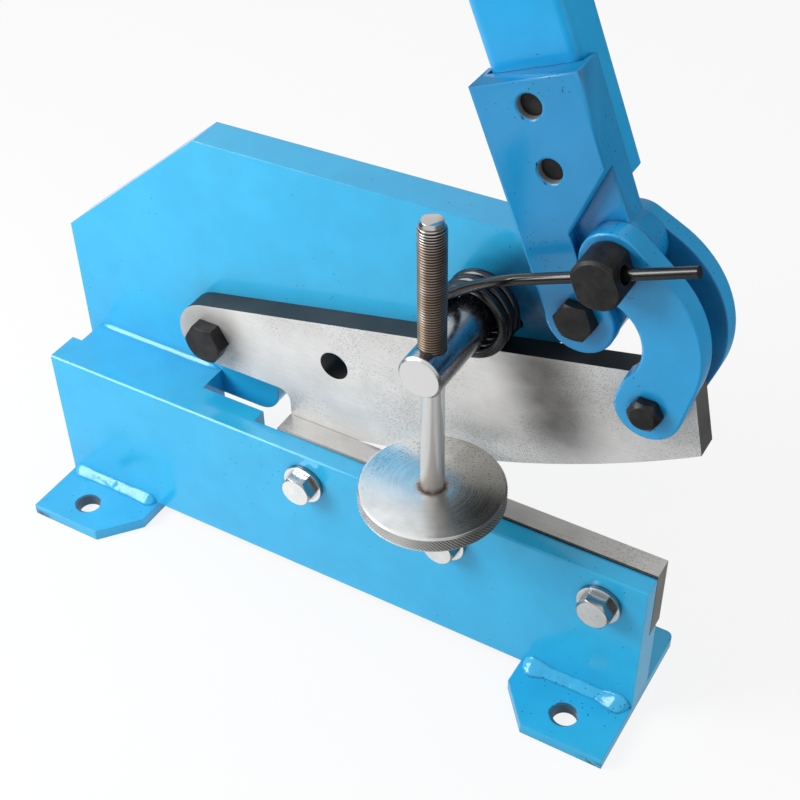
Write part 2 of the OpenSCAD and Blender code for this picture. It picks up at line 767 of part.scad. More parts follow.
last_curl = coil_eighths;
tail_start = coil_point(last_curl, coil_r) - tail_bend * coil_heading(last_curl);
tail_path = concat(
    [for (s = [1, 0.5]) deep(tail_start, y_plate + s * tail_l)],
    [for (a = [0, 30, 60]) deep(coil_point(last_curl, coil_r) - tail_bend * cos(a) * coil_heading(last_curl),
        y_coil_rear + tail_bend * (1 - sin(a)))]);
coil_path = [for (k = [last_curl:-1:0]) deep(coil_point(k, coil_r), y_coil_front + k / 8 * coil_pitch)];
arm_dir = [cos(arm_slope), sin(arm_slope)];
// The wire runs straight off the curl, then eases into the arm's line
arm_lead = 6;
arm_ease = 9;
// Share of the wire's way out to the anchor pin that it has made where the ease starts
arm_out = 0.15;
arm_start = coil_point(0, coil_r) + arm_lead * coil_heading(0);
arm_join = pivot_c - arm_straight * arm_dir;
arm_path = concat(
    [for (s = [0:0.2:1]) deep(bend(arm_start, arm_start + arm_ease * coil_heading(0), arm_join - arm_ease * arm_dir,
        arm_join, s),
        between(y_coil_front, y_anchor_hole, between(arm_out, 1, s)))],
    [for (s = [0.5, 0, -0.5, -1])
        deep(pivot_c - (s > 0 ? arm_straight : arm_past) * s * arm_dir, y_anchor_hole)]);
wire_path = concat(tail_path, coil_path, arm_path);
wire_sides = 6;
rings = len(wire_path);
function wire_heading(i) = unit(wire_path[min(i + 1, rings - 1)] - wire_path[max(i - 1, 0)]);
function wire_normal(i) = i < len(tail_path)
    ? deep(unit(post_at - coil_point(last_curl, coil_r)), 0)
    : unit(cross([0, 1, 0], wire_heading(i)));
function ring_points(i) = [for (k = [0:wire_sides - 1])
    let (t = wire_heading(i), n = wire_normal(i), b = unit(cross(t, n)), a = 360 / wire_sides * k)
    wire_path[i] + wire_d / 2 * (n * cos(a) + b * sin(a))];
wire_points = [for (i = [0:rings - 1]) each ring_points(i)];
function wire_at(i, k) = i * wire_sides + k % wire_sides;
wire_faces = concat(
    [for (i = [0:rings - 2], k = [0:wire_sides - 1]) [wire_at(i + 1, k + 1), wire_at(i, k + 1), wire_at(i, k)]],
    [for (i = [0:rings - 2], k = [0:wire_sides - 1]) [wire_at(i + 1, k), wire_at(i + 1, k + 1), wire_at(i, k)]],
    [for (k = [1:wire_sides - 2]) [0, k, k + 1]],
    [for (k = [1:wire_sides - 2]) [wire_at(rings - 1, k + 1), wire_at(rings - 1, k), wire_at(rings - 1, 0)]]);
// The least distance between points of the wire that lie at least half a curl apart along it
self_gap = min([for (i = [0:rings - 6], j = [i + 5:rings - 1], p = ring_points(i), q = ring_points(j)) norm(p - q)]);
echo(spring_least_gap_mm = self_gap);

module return_spring() {
    color("Black") polyhedron(points = wire_points, faces = wire_faces, convexity = 8);
}

module hold_down_post() {
    color("WhiteSmoke") difference() {
        union() {
            translate([post_at[0], y_post + post_bevel, post_at[1]]) rotate([90, 0, 0])
                cylinder(d1 = post_d, d2 = post_d - 2 * post_bevel, h = post_bevel);
            rod(post_at, post_d, y_post + post_bevel, y_plate);
            rod(post_at, stud_d, y_plate - overlap, y_plate_rear + stud_nut + thread_past);
        }
        translate([post_at[0], y_spindle, post_at[1] - post_d]) cylinder(d = spindle_d + 2 * fit, h = 2 * post_d);
    }
}

module post_nut() {
    color("DimGray") nut(post_at, stud_d, stud_af, y_plate_rear, stud_nut);
}

module hold_down_spindle() {
    top = post_top + spindle_rise;
    thread_bottom = post_top - post_d + thread_in;
    color("RosyBrown") translate([post_at[0], y_spindle, 0]) {
        translate([0, 0, disc_bottom + disc_bevel]) cylinder(d = shank_d, h = thread_bottom - disc_bottom);
        translate([0, 0, thread_bottom]) cylinder(d = spindle_d, h = top - spindle_taper - thread_bottom);
        translate([0, 0, top - spindle_taper])
            cylinder(d1 = spindle_d, d2 = tip_share * spindle_d, h = spindle_taper);
    }
}

module hold_down_disc() {
    color("Silver") translate([post_at[0], y_spindle, disc_bottom]) difference() {
        union() {
            cylinder(d1 = disc_d - 2 * disc_bevel, d2 = disc_d, h = disc_bevel);
            translate([0, 0, disc_bevel]) cylinder(d = disc_d, h = disc_t - 2 * disc_bevel, $fn = 96);
            translate([0, 0, disc_t - disc_bevel])
                cylinder(d1 = disc_d, d2 = disc_d - 2 * disc_bevel, h = disc_bevel);
        }
        translate([0, 0, -cut_past]) cylinder(d = shank_d + 2 * fit, h = disc_t + 2 * cut_past);
    }
}

back_plate();
lower_beam();
spacer_block();
left_foot();
right_foot();
weld_beads();
lower_blade();
lower_blade_bolts();
upper_blade();
blade_pivot_bolt();
blade_pivot_nut();
lever_casting();
lever_pivot_bolt();
lever_pivot_nut();
handle_tube();
handle_bolts();
handle_plug();
front_link();
rear_link();
link_bolt();
link_nut();
anchor_pin();
anchor_nut();
return_spring();
hold_down_post();
post_nut();
hold_down_spindle();
hold_down_disc();
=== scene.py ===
# Bench lever shear: finishes, fine pieces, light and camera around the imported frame.
import math
import bmesh
import bpy
from mathutils import Matrix, Vector


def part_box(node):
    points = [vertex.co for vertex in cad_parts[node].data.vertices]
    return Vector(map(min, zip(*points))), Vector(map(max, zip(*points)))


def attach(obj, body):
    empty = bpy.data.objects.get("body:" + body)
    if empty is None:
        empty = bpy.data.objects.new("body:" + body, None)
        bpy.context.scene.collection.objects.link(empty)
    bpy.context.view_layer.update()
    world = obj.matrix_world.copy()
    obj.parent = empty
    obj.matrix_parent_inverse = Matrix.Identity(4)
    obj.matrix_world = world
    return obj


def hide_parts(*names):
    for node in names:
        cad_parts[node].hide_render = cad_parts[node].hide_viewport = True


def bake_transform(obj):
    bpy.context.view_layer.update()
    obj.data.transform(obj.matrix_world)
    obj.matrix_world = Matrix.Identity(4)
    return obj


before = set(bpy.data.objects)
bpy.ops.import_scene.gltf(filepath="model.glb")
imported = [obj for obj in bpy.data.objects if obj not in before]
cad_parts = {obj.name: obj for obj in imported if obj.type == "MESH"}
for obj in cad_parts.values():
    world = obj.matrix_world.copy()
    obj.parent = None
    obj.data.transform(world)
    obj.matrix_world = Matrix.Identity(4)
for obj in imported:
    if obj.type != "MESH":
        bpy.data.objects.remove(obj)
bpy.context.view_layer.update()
MM = 0.001


def middle(node_name):
    """The centre of a CAD node's box."""
    low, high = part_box(node_name)
    return (low + high) / 2


# Places on the part that finishes and pieces share

BEAM_LOW, BEAM_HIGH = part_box("lower_beam")
SPACER_LOW, SPACER_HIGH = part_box("spacer_block")
SPINDLE_LOW, SPINDLE_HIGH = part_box("hold_down_spindle")
DISC_LOW, DISC_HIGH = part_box("hold_down_disc")
POST = middle("hold_down_post")
SPINDLE = (SPINDLE_LOW + SPINDLE_HIGH) / 2
PLATE_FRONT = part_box("back_plate")[0].y
SEAT_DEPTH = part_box("lower_blade")[0].y
SPINDLE_TAPER = 4 * MM
THREAD_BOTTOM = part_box("hold_down_post")[0].z + 1 * MM
THREAD_TOP = SPINDLE_HIGH.z - SPINDLE_TAPER
HOLE_X, HOLE_Y = 142.1 * MM, 28 * MM
HOLE_PLACES = [(x, y, 0.0) for x in (-HOLE_X, HOLE_X) for y in (-HOLE_Y, HOLE_Y)]
HANDLE_BOLTS = ((0.1010, 0.0, 0.2696), (0.0911, 0.0, 0.2941))
BAR_HOLE = ((-0.0050, 0.0, 0.1287),)
PIVOT_PLACE = (tuple(middle("blade_pivot_bolt")),)

# Where the finishes are marked: centres, radii, soft edges, and ranges over which a mark comes in
# Painted shadow on the plate behind the spring
SPRING_SHADOW_PLACES = ((0.088, 0.0, 0.198), (0.100, 0.0, 0.184), (0.112, 0.0, 0.178))
SPRING_SHADOW_R, SPRING_SHADOW_EDGE = 10 * MM, 22 * MM
# Painted shade on the moving blade below the spring, and a painted shadow round its pivot bolt
BLADE_SHADE_PLACES = ((0.101, 0.0, 0.166), (0.105, 0.0, 0.155), (0.110, 0.0, 0.144))
BLADE_SHADE_R, BLADE_SHADE_EDGE = 3 * MM, 26 * MM
PIVOT_SHADOW_R, PIVOT_SHADOW_EDGE = 13 * MM, 16 * MM
BAR_HOLE_R, BAR_HOLE_EDGE = 6.2 * MM, 0.4 * MM
BOLT_HOLE_R, BOLT_HOLE_EDGE = 5.15 * MM, 0.2 * MM
# Dark burrs round the bench holes, with painted shade on the holes' inner walls
BURR_AND_SHADE_R, BURR_AND_SHADE_EDGE = 6.6 * MM, 0.6 * MM
BURR_AND_SHADE_UNEVEN = 2.2 * MM
FOOT_FRONT = (-42.4 * MM, -42.9 * MM)
FOOT_OUTER = (150 * MM, 166 * MM)
FOOT_LOW = (4.5 * MM, 1.5 * MM)
FILLED_SEAM = (1.5 * MM, 2.5 * MM)
# Painted shadow in the gap at the fixed blade's seat
SEAT_GAP_SHADOW = (SEAT_DEPTH + 1.1 * MM, SEAT_DEPTH + 0.7 * MM)
SEAM_DARKENS = (-40 * MM, 100 * MM)
# Painted shade on the disc's right and rear side
DISC_SHADE = (-2 * MM, 34 * MM)
DISC_SHADE_UNEVEN = 30 * MM
DISC_RUST = (10.4 * MM, 7.6 * MM)
DISC_RUST_UNEVEN = 4 * MM
SHANK_RUST = (DISC_HIGH.z + 3.5 * MM, DISC_HIGH.z - 0.5 * MM)
THREAD_STARTS = (THREAD_BOTTOM - 0.5 * MM, THREAD_BOTTOM + 0.5 * MM)
CLEAN_TIP = (THREAD_TOP - 12 * MM, THREAD_TOP + 4 * MM)
# The way that the disc's painted shade faces
SHADED_DISC_SIDE = (0.85, 0.53, 0.0)
DISC_LEAN = 0.09

# Distances from an upright axis and from one that runs through the plate
ABOUT_Z = (1.0, 1.0, 0.0)
ABOUT_Y = (1.0, 0.0, 1.0)


# Small builders for node trees

def fill(tree, sockets, values):
    """Links or sets sockets by their names or numbers."""
    for key, value in values.items():
        if isinstance(value, bpy.types.NodeSocket):
            tree.links.new(value, sockets[key])
        else:
            sockets[key].default_value = value


def spaced(values):
    """Values by socket names, from keyword names."""
    return {label.replace("_", " "): value for label, value in values.items()}


def node(tree, kind, values=None, **settings):
    """A node with its settings made, and its inputs linked or set."""
    made = tree.nodes.new(kind)
    for name, value in settings.items():
        setattr(made, name, value)
    fill(tree, made.inputs, values or {})
    return made


def maths(tree, operation, *values, clamp=False):
    """The result of a sum, a minimum or another operation on numbers."""
    made = node(tree, "ShaderNodeMath", dict(enumerate(values)), operation=operation, use_clamp=clamp)
    return made.outputs[0]


def times(tree, first, *others):
    """The product of numbers."""
    for other in others:
        first = maths(tree, "MULTIPLY", first, other)
    return first


def vectors(tree, operation, *values):
    """The result of an operation on vectors, which is a number for a length or a dot product."""
    made = node(tree, "ShaderNodeVectorMath", dict(enumerate(values)), operation=operation)
    return made.outputs["Value" if operation in ("LENGTH", "DOT_PRODUCT") else "Vector"]


def scaled(tree, vector, amount):
    """A vector times a number."""
    return node(tree, "ShaderNodeVectorMath", {0: vector, "Scale": amount}, operation="SCALE").outputs[0]


def parts(tree, vector):
    """The x, y and z of a vector."""
    return node(tree, "ShaderNodeSeparateXYZ", {0: vector}).outputs


def joined(tree, *values):
    """A vector from its x, y and z."""
    return node(tree, "ShaderNodeCombineXYZ", dict(enumerate(values))).outputs[0]


def ramped(tree, value, low, high, start=0.0, end=1.0):
    """A value eased from one range into another."""
    ranges = {"Value": value, "From Min": low, "From Max": high, "To Min": start, "To Max": end}
    return node(tree, "ShaderNodeMapRange", ranges, interpolation_type="SMOOTHSTEP").outputs[0]


def blended(tree, share, first, second, mode="MIX"):
    """Two colours laid over each other."""
    colours = {0: share, 6: first, 7: second}
    return node(tree, "ShaderNodeMix", colours, data_type="RGBA", blend_type=mode).outputs[2]


def tinted(tree, colour, mask, strength, over):
    """A colour with another over it where a mask is, as strong as given."""
    return blended(tree, times(tree, mask, strength), colour, over)


def clouds(tree, place, scale, detail=2.0, roughness=0.55):
    """Soft noise."""
    values = {"Vector": place, "Scale": scale, "Detail": detail, "Roughness": roughness}
    return node(tree, "ShaderNodeTexNoise", values).outputs[0]


def patchy(tree, place, scale, detail, low=0.3, high=0.7, start=0.0, end=1.0):
    """Soft noise eased into a range."""
    return ramped(tree, clouds(tree, place, scale, detail), low, high, start, end)


def object_place(tree):
    """Coordinates that stay with the piece."""
    return node(tree, "ShaderNodeTexCoord").outputs["Object"]


def surface_normal(tree):
    """The way that the surface faces."""
    return node(tree, "ShaderNodeNewGeometry").outputs["Normal"]


def rgb(red, green, blue):
    """An opaque colour in linear light."""
    return (red, green, blue, 1.0)


def toned(colour, tone):
    """A colour with its own share of red, green and blue left."""
    return rgb(*(part * share for part, share in zip(colour, tone)))


def shader_group(name, inputs, outputs):
    """An empty shader group with its sockets, and the sockets inside it."""
    tree = bpy.data.node_groups.new(name, "ShaderNodeTree")
    for label, value in inputs.items():
        kind = "NodeSocketVector" if isinstance(value, tuple) else "NodeSocketFloat"
        tree.interface.new_socket(label, in_out="INPUT", socket_type=kind).default_value = value
    for label in outputs:
        kind = "NodeSocketVector" if label == "Normal" else "NodeSocketFloat"
        tree.interface.new_socket(label, in_out="OUTPUT", socket_type=kind)
    return tree, tree.nodes.new("NodeGroupInput").outputs, tree.nodes.new("NodeGroupOutput").inputs


def use(tree, group, **values):
    """The outputs of a group with its own values in a material."""
    return node(tree, "ShaderNodeGroup", spaced(values), node_tree=group).outputs


# Effects that several finishes share

RAY_SAMPLES = 6


def make_edge_rounding():
    """Edges: rounded normals, and a mask that breaks up along them."""
    tree, given, out = shader_group("edge_rounding", {"Radius": 0.6 * MM, "Patches": 260.0}, ("Edge", "Normal"))
    rounded = node(tree, "ShaderNodeBevel", {"Radius": given["Radius"]}, samples=RAY_SAMPLES).outputs[0]
    along = vectors(tree, "DOT_PRODUCT", rounded, surface_normal(tree))
    bend = ramped(tree, maths(tree, "SUBTRACT", 1.0, along), 0.01, 0.16)
    patches = patchy(tree, object_place(tree), given["Patches"], 3.0, 0.3, 0.66)
    fill(tree, out, {"Edge": times(tree, bend, patches), "Normal": rounded})
    return tree


def make_painted_corner_shade():
    """Painted shade in corners: a mask where faces close in on each other, broken into uneven patches."""
    tree, given, out = shader_group("painted_corner_shade", {"Reach": 8 * MM, "Patches": 90.0}, ("Corner",))
    values = {"Distance": given["Reach"]}
    closed = node(tree, "ShaderNodeAmbientOcclusion", values, samples=RAY_SAMPLES).outputs["AO"]
    corner = ramped(tree, closed, 0.8, 0.45)
    patches = patchy(tree, object_place(tree), given["Patches"], 3.0, 0.2, 0.7, 0.45, 1.0)
    fill(tree, out, {"Corner": times(tree, corner, patches)})
    return tree


def make_specks():
    """Scattered small dots, in drifts."""
    tree, given, out = shader_group("specks", {"Spacing": 420.0, "Size": 0.22, "Share": 0.08}, ("Speck",))
    place = object_place(tree)
    cells = node(tree, "ShaderNodeTexVoronoi", {"Vector": place, "Scale": given["Spacing"]}).outputs
    dot = ramped(tree, cells["Distance"], given["Size"], times(tree, given["Size"], 0.5))
    pick = node(tree, "ShaderNodeSeparateColor", {0: cells["Color"]}).outputs[0]
    drift = patchy(tree, place, 22.0, 2.0, 0.42, 0.68)
    limit = maths(tree, "SUBTRACT", 1.0, times(tree, given["Share"], drift))
    chosen = maths(tree, "GREATER_THAN", pick, limit)
    fill(tree, out, {"Speck": times(tree, dot, chosen)})
    return tree


def make_grain():
    """Grinding marks: streaks drawn out along one direction, fine and coarse."""
    tree, given, out = shader_group("grain", {"Stretch": (40.0, 400.0, 2500.0)}, ("Fine", "Coarse"))
    place = vectors(tree, "MULTIPLY", object_place(tree), given["Stretch"])
    fine = clouds(tree, place, 1.0, 3.0, 0.65)
    coarse = clouds(tree, place, 0.23, 2.0, 0.5)
    fill(tree, out, {"Fine": fine, "Coarse": coarse})
    return tree


def make_turning():
    """Lathe marks: rings about an axis through a centre, and the distance from that axis."""
    values = {"Centre": (0.0, 0.0, 0.0), "Across": ABOUT_Z, "Rings": 1400.0}
    tree, given, out = shader_group("turning", values, ("Ring", "Distance"))
    offset = vectors(tree, "SUBTRACT", object_place(tree), given["Centre"])
    distance = vectors(tree, "LENGTH", vectors(tree, "MULTIPLY", offset, given["Across"]))
    drifted = vectors(tree, "ADD", joined(tree, times(tree, distance, given["Rings"])), offset)
    fill(tree, out, {"Ring": clouds(tree, drifted, 1.0, 3.0, 0.7), "Distance": distance})
    return tree


edge_rounding = make_edge_rounding()
painted_corner_shade = make_painted_corner_shade()
specks = make_specks()
grain = make_grain()
turning = make_turning()


# Finishes

def finish(name):
    """A new material with its tree and its shader."""
    material = bpy.data.materials.new(name)
    material.use_nodes = True
    tree = material.node_tree
    return material, tree, tree.nodes["Principled BSDF"]


def bumped(tree, height, depth, strength, normal=None):
    """A surface raised by a height, on top of a normal where one is given."""
    values = {"Strength": strength, "Distance": depth, "Height": height}
    if normal is not None:
        values["Normal"] = normal
    return node(tree, "ShaderNodeBump", values).outputs[0]


def connect(tree, shader, **sockets):
    """Links or sets the shader's sockets by name."""
    fill(tree, shader.inputs, spaced(sockets))


def around_places(tree, place, places, about, reach, soft):
    """A mask that is 1 near any of some axes, and fades over a soft edge."""
    nearest = None
    for spot in places:
        offset = vectors(tree, "SUBTRACT", place, spot)
        away = vectors(tree, "LENGTH", vectors(tree, "MULTIPLY", offset, about))
        nearest = away if nearest is None else maths(tree, "MINIMUM", nearest, away)
    return ramped(tree, nearest, reach + soft, reach)


PAINT = rgb(0.022, 0.430, 0.760)
PAINT_PALE = rgb(0.046, 0.485, 0.795)
# Painted shade, for corners and for the rear link's inner face
PAINTED_SHADE_BLUE = rgb(0.002, 0.07, 0.22)
# Pale edge colour: worn paint, and a painted highlight where edges catch the light
PAINT_EDGE_WORN_AND_LIT = rgb(0.20, 0.60, 0.80)
SPECK_DARK = rgb(0.012, 0.03, 0.05)
# Dark steel for burrs and rubbed corners, and for the painted shade in the bench holes
RUBBED_STEEL_AND_SHADE = rgb(0.035, 0.042, 0.05)
BARE_STEEL = rgb(0.15, 0.155, 0.16)
# Painted shadow on the plate behind the spring
PAINTED_SHADOW_NAVY = rgb(0.002, 0.035, 0.10)


def paint(name, tone=(1.0, 1.0, 1.0), peel=0.035, speck_share=0.06, worn_and_lit_edges=0.2, roughness=0.15, lumps=0.0,
          wear_and_shade=None, wear_and_shade_colour=RUBBED_STEEL_AND_SHADE, corner_reach=10 * MM, corner_shade=0.2, edge_radius=0.9 * MM,
          filled_seam=None):
    """Sprayed blue enamel: orange peel, thin pale edges that are also a painted highlight, drifts of specks
    and painted shade in corners.
    """
    material, tree, shader = finish(name)
    place = object_place(tree)
    edges = use(tree, edge_rounding, Radius=edge_radius)
    edge, rounded = edges["Edge"], edges["Normal"]
    if filled_seam is not None:
        away = maths(tree, "ABSOLUTE", maths(tree, "SUBTRACT", parts(tree, place)[1], filled_seam))
        open_edge = ramped(tree, away, *FILLED_SEAM)
        edge = times(tree, edge, open_edge)
        values = {0: open_edge, 4: surface_normal(tree), 5: rounded}
        rounded = node(tree, "ShaderNodeMix", values, data_type="VECTOR").outputs[1]
    corner = use(tree, painted_corner_shade, Reach=corner_reach)["Corner"]
    speck = use(tree, specks, Spacing=760.0, Size=0.3, Share=speck_share)["Speck"]
    drift = patchy(tree, place, 8.0, 3.0, 0.35, 0.7)
    colour = tinted(tree, toned(PAINT, tone), drift, 0.6, toned(PAINT_PALE, tone))
    fine = patchy(tree, place, 60.0, 3.0, start=0.95, end=1.02)
    colour = blended(tree, 1.0, colour, fine, "MULTIPLY")
    # Painted shade in corners
    colour = tinted(tree, colour, corner, corner_shade, PAINTED_SHADE_BLUE)
    # Pale edges: worn paint and a painted highlight
    colour = tinted(tree, colour, edge, worn_and_lit_edges, PAINT_EDGE_WORN_AND_LIT)
    colour = blended(tree, speck, colour, SPECK_DARK)
    rough = patchy(tree, place, 40.0, 3.0, start=roughness - 0.03, end=roughness + 0.06)
    # An extra mark: wear on the feet and bolt holes, painted shade between the links, or a painted shadow on
    # the plate
    if wear_and_shade:
        mark = wear_and_shade(tree, place)
        colour = blended(tree, mark, colour, wear_and_shade_colour)
        rough = maths(tree, "ADD", rough, times(tree, mark, 0.25))
    normal = bumped(tree, clouds(tree, place, 420.0, 2.0), 0.4 * MM, peel, rounded)
    if lumps:
        normal = bumped(tree, clouds(tree, place, 110.0, 3.0), 1.2 * MM, lumps, normal)
    connect(tree, shader, Base_Color=colour, Roughness=rough, Normal=normal)
    return material


def foot_wear_and_hole_shade(tree, place):
    """Rough dark burrs around the bench holes with painted shade on the holes' inner walls, and rubbed lower
    corners at the front.
    """
    uneven = joined(tree, times(tree, clouds(tree, place, 420.0, 3.0), BURR_AND_SHADE_UNEVEN))
    shaken = vectors(tree, "ADD", place, uneven)
    # Dark burrs round the holes, with painted shade on the holes' inner walls
    burr_and_hole_shade = around_places(tree, shaken, HOLE_PLACES, ABOUT_Z, BURR_AND_SHADE_R, BURR_AND_SHADE_EDGE)
    part = parts(tree, place)
    front = ramped(tree, part[1], *FOOT_FRONT)
    outer = ramped(tree, maths(tree, "ABSOLUTE", part[0]), *FOOT_OUTER)
    low = ramped(tree, part[2], *FOOT_LOW)
    rubbed = times(tree, front, outer, low, patchy(tree, place, 260.0, 4.0, 0.38, 0.55))
    return maths(tree, "MAXIMUM", times(tree, burr_and_hole_shade, 0.85), rubbed)


def bolt_hole_scuff(tree, place):
    """Bare steel in the handle's bolt holes."""
    return around_places(tree, place, HANDLE_BOLTS, ABOUT_Y, BOLT_HOLE_R, BOLT_HOLE_EDGE)


def painted_shade_between_links(tree, place):
    """Painted shade on the rear link's inner face, between the links, in uneven patches."""
    inner = ramped(tree, parts(tree, surface_normal(tree))[1], -0.6, -0.9)
    return times(tree, inner, patchy(tree, place, 60.0, 3.0, start=0.55, end=0.8))


def painted_spring_shadow(tree, place):
    """Painted shadow on the plate in the pocket behind the spring and the lever, in uneven patches."""
    pocket = around_places(tree, place, SPRING_SHADOW_PLACES, ABOUT_Y, SPRING_SHADOW_R, SPRING_SHADOW_EDGE)
    return times(tree, pocket, patchy(tree, place, 90.0, 3.0, 0.2, 0.7, 0.7, 1.0), 0.9)


def black_oxide(name, shine=0.36, edge=0.16, pits=0.10):
    """Blackened steel: faint brown cast, pale worn edges and small pits."""
    material, tree, shader = finish(name)
    place = object_place(tree)
    edges = use(tree, edge_rounding, Radius=0.5 * MM, Patches=520.0)
    pit = use(tree, specks, Spacing=900.0, Share=0.35)["Speck"]
    tone = patchy(tree, place, 160.0, 4.0)
    colour = blended(tree, tone, rgb(0.008, 0.008, 0.009), rgb(0.022, 0.021, 0.021))
    colour = tinted(tree, colour, edges["Edge"], edge, rgb(0.42, 0.40, 0.38))
    rough = patchy(tree, place, 300.0, 3.0, 0.25, 0.75, shine - 0.07, shine + 0.12)
    height = maths(tree, "SUBTRACT", clouds(tree, place, 900.0, 3.0), pit)
    normal = bumped(tree, height, 0.3 * MM, pits, edges["Normal"])
    connect(tree, shader, Base_Color=colour, Roughness=rough, Normal=normal)
    connect(tree, shader, Metallic=0.2, Specular_IOR_Level=0.3)
    return material


def spring_black():
    """Oiled black spring wire with drawn marks and a little dust."""
    material, tree, shader = finish("spring_black")
    place = object_place(tree)
    dust = patchy(tree, place, 340.0, 4.0, 0.5, 0.8)
    colour = tinted(tree, rgb(0.005, 0.005, 0.006), dust, 0.3, rgb(0.030, 0.028, 0.027))
    rough = ramped(tree, dust, 0.0, 1.0, 0.17, 0.36)
    uneven = bumped(tree, clouds(tree, place, 520.0, 3.0), 0.3 * MM, 0.08)
    connect(tree, shader, Base_Color=colour, Roughness=rough, Normal=uneven)
    return material


def blade_steel(name, scale_mask, tone=1.0, stain_and_shade=None):
    """Ground tool steel: fine streaks and pits, and dark rolled scale on the faces that a mask names."""
    material, tree, shader = finish(name)
    place = object_place(tree)
    edges = use(tree, edge_rounding, Radius=0.3 * MM, Patches=500.0)
    marks = use(tree, grain, Stretch=(90.0, 900.0, 1900.0))
    pit = use(tree, specks, Spacing=2000.0, Share=0.7, Size=0.46)["Speck"]
    mottle = ramped(tree, clouds(tree, place, 26.0, 4.0, 0.6), 0.3, 0.72)
    dull, pale = rgb(0.58, 0.57, 0.555), rgb(0.70, 0.695, 0.685)
    colour = blended(tree, mottle, toned(dull, (tone, tone, tone)), toned(pale, (tone, tone, tone)))
    streak = ramped(tree, marks["Fine"], 0.25, 0.75, 0.93, 1.05)
    colour = blended(tree, 1.0, colour, streak, "MULTIPLY")
    colour = tinted(tree, colour, pit, 0.8, rgb(0.10, 0.09, 0.08))
    # Painted shade, where a mask for it is given
    if stain_and_shade:
        colour = blended(tree, stain_and_shade(tree, place), colour, rgb(0.105, 0.10, 0.095))
    rough = ramped(tree, marks["Coarse"], 0.3, 0.7, 0.38, 0.48)
    side = scale_mask(tree, place, parts(tree, surface_normal(tree)))
    scale = blended(tree, mottle, rgb(0.012, 0.012, 0.013), rgb(0.040, 0.036, 0.033))
    colour = blended(tree, side, colour, scale)
    rough = ramped(tree, side, 0.0, 1.0, rough, 0.42)
    metal = ramped(tree, side, 0.0, 1.0, 0.4, 0.2)
    colour = tinted(tree, colour, edges["Edge"], 0.35, rgb(0.72, 0.71, 0.70))
    normal = bumped(tree, marks["Fine"], 0.2 * MM, 0.06, edges["Normal"])
    connect(tree, shader, Base_Color=colour, Roughness=rough, Metallic=metal, Normal=normal)
    return material


def moving_scale(tree, place, facing):
    """The moving blade's narrow sides, but not the bore for round bar."""
    side = ramped(tree, maths(tree, "ABSOLUTE", facing[1]), 0.75, 0.45)
    right_end = ramped(tree, facing[0], 0.6, 0.9, 1.0, 0.86)
    bore = around_places(tree, place, BAR_HOLE, ABOUT_Y, BAR_HOLE_R, BAR_HOLE_EDGE)
    return times(tree, side, right_end, maths(tree, "SUBTRACT", 1.0, times(tree, bore, 0.85)))


def blade_painted_shade(tree, place):
    """Painted shade on the moving blade below the spring, and a faint painted shadow round its pivot bolt."""
    shade_below_spring = around_places(tree, place, BLADE_SHADE_PLACES, ABOUT_Y, BLADE_SHADE_R, BLADE_SHADE_EDGE)
    ring = around_places(tree, place, PIVOT_PLACE, ABOUT_Y, PIVOT_SHADOW_R, PIVOT_SHADOW_EDGE)
    both = maths(tree, "MAXIMUM", times(tree, shade_below_spring, 0.88), times(tree, ring, 0.4))
    return times(tree, both, patchy(tree, place, 70.0, 4.0, 0.25, 0.65, 0.82, 1.0))


def fixed_scale(tree, place, facing):
    """The fixed blade's right end, seat side and underside, and painted shadow in the gap at its seat, all
    weaker to the left.
    """
    end = ramped(tree, facing[0], 0.45, 0.75)
    seat = ramped(tree, facing[1], -0.45, -0.75)
    under = ramped(tree, facing[2], -0.45, -0.75)
    sides = maths(tree, "MAXIMUM", times(tree, end, 0.6), maths(tree, "MAXIMUM", seat, under))
    part = parts(tree, place)
    # Painted shadow in the gap along the seat
    seam = ramped(tree, part[1], *SEAT_GAP_SHADOW)
    along = ramped(tree, part[0], *SEAM_DARKENS, 0.35, 1.0)
    return times(tree, maths(tree, "MAXIMUM", sides, seam), along)


def zinc():
    """Bright zinc plating with a cool cast, painted shade on its sides and in corners, small stains and
    knocks.
    """
    material, tree, shader = finish("zinc")
    place = object_place(tree)
    edges = use(tree, edge_rounding, Radius=0.6 * MM, Patches=420.0)
    corner = use(tree, painted_corner_shade, Reach=3 * MM)["Corner"]
    stain_and_shade = use(tree, specks, Spacing=640.0, Share=0.3, Size=0.25)["Speck"]
    tone = patchy(tree, place, 140.0, 3.0)
    colour = blended(tree, tone, rgb(0.82, 0.86, 0.86), rgb(0.93, 0.955, 0.945))
    # Painted shade on the faces that do not face the front
    side = ramped(tree, parts(tree, surface_normal(tree))[1], -0.95, -0.8)
    colour = tinted(tree, colour, side, 0.85, rgb(0.26, 0.285, 0.30))
    # Painted shade in corners
    colour = tinted(tree, colour, corner, 0.75, rgb(0.06, 0.06, 0.06))
    colour = tinted(tree, colour, stain_and_shade, 0.8, rgb(0.12, 0.12, 0.11))
    rough = patchy(tree, place, 300.0, 3.0, start=0.16, end=0.26)
    normal = bumped(tree, clouds(tree, place, 500.0, 3.0), 0.3 * MM, 0.03, edges["Normal"])
    connect(tree, shader, Base_Color=colour, Roughness=rough, Normal=normal, Metallic=1.0)
    return material


def groove_depth(tree):
    """How deep a cut thread or knurl is, which its piece keeps as an attribute."""
    return node(tree, "ShaderNodeAttribute", None, attribute_name="groove").outputs["Fac"]


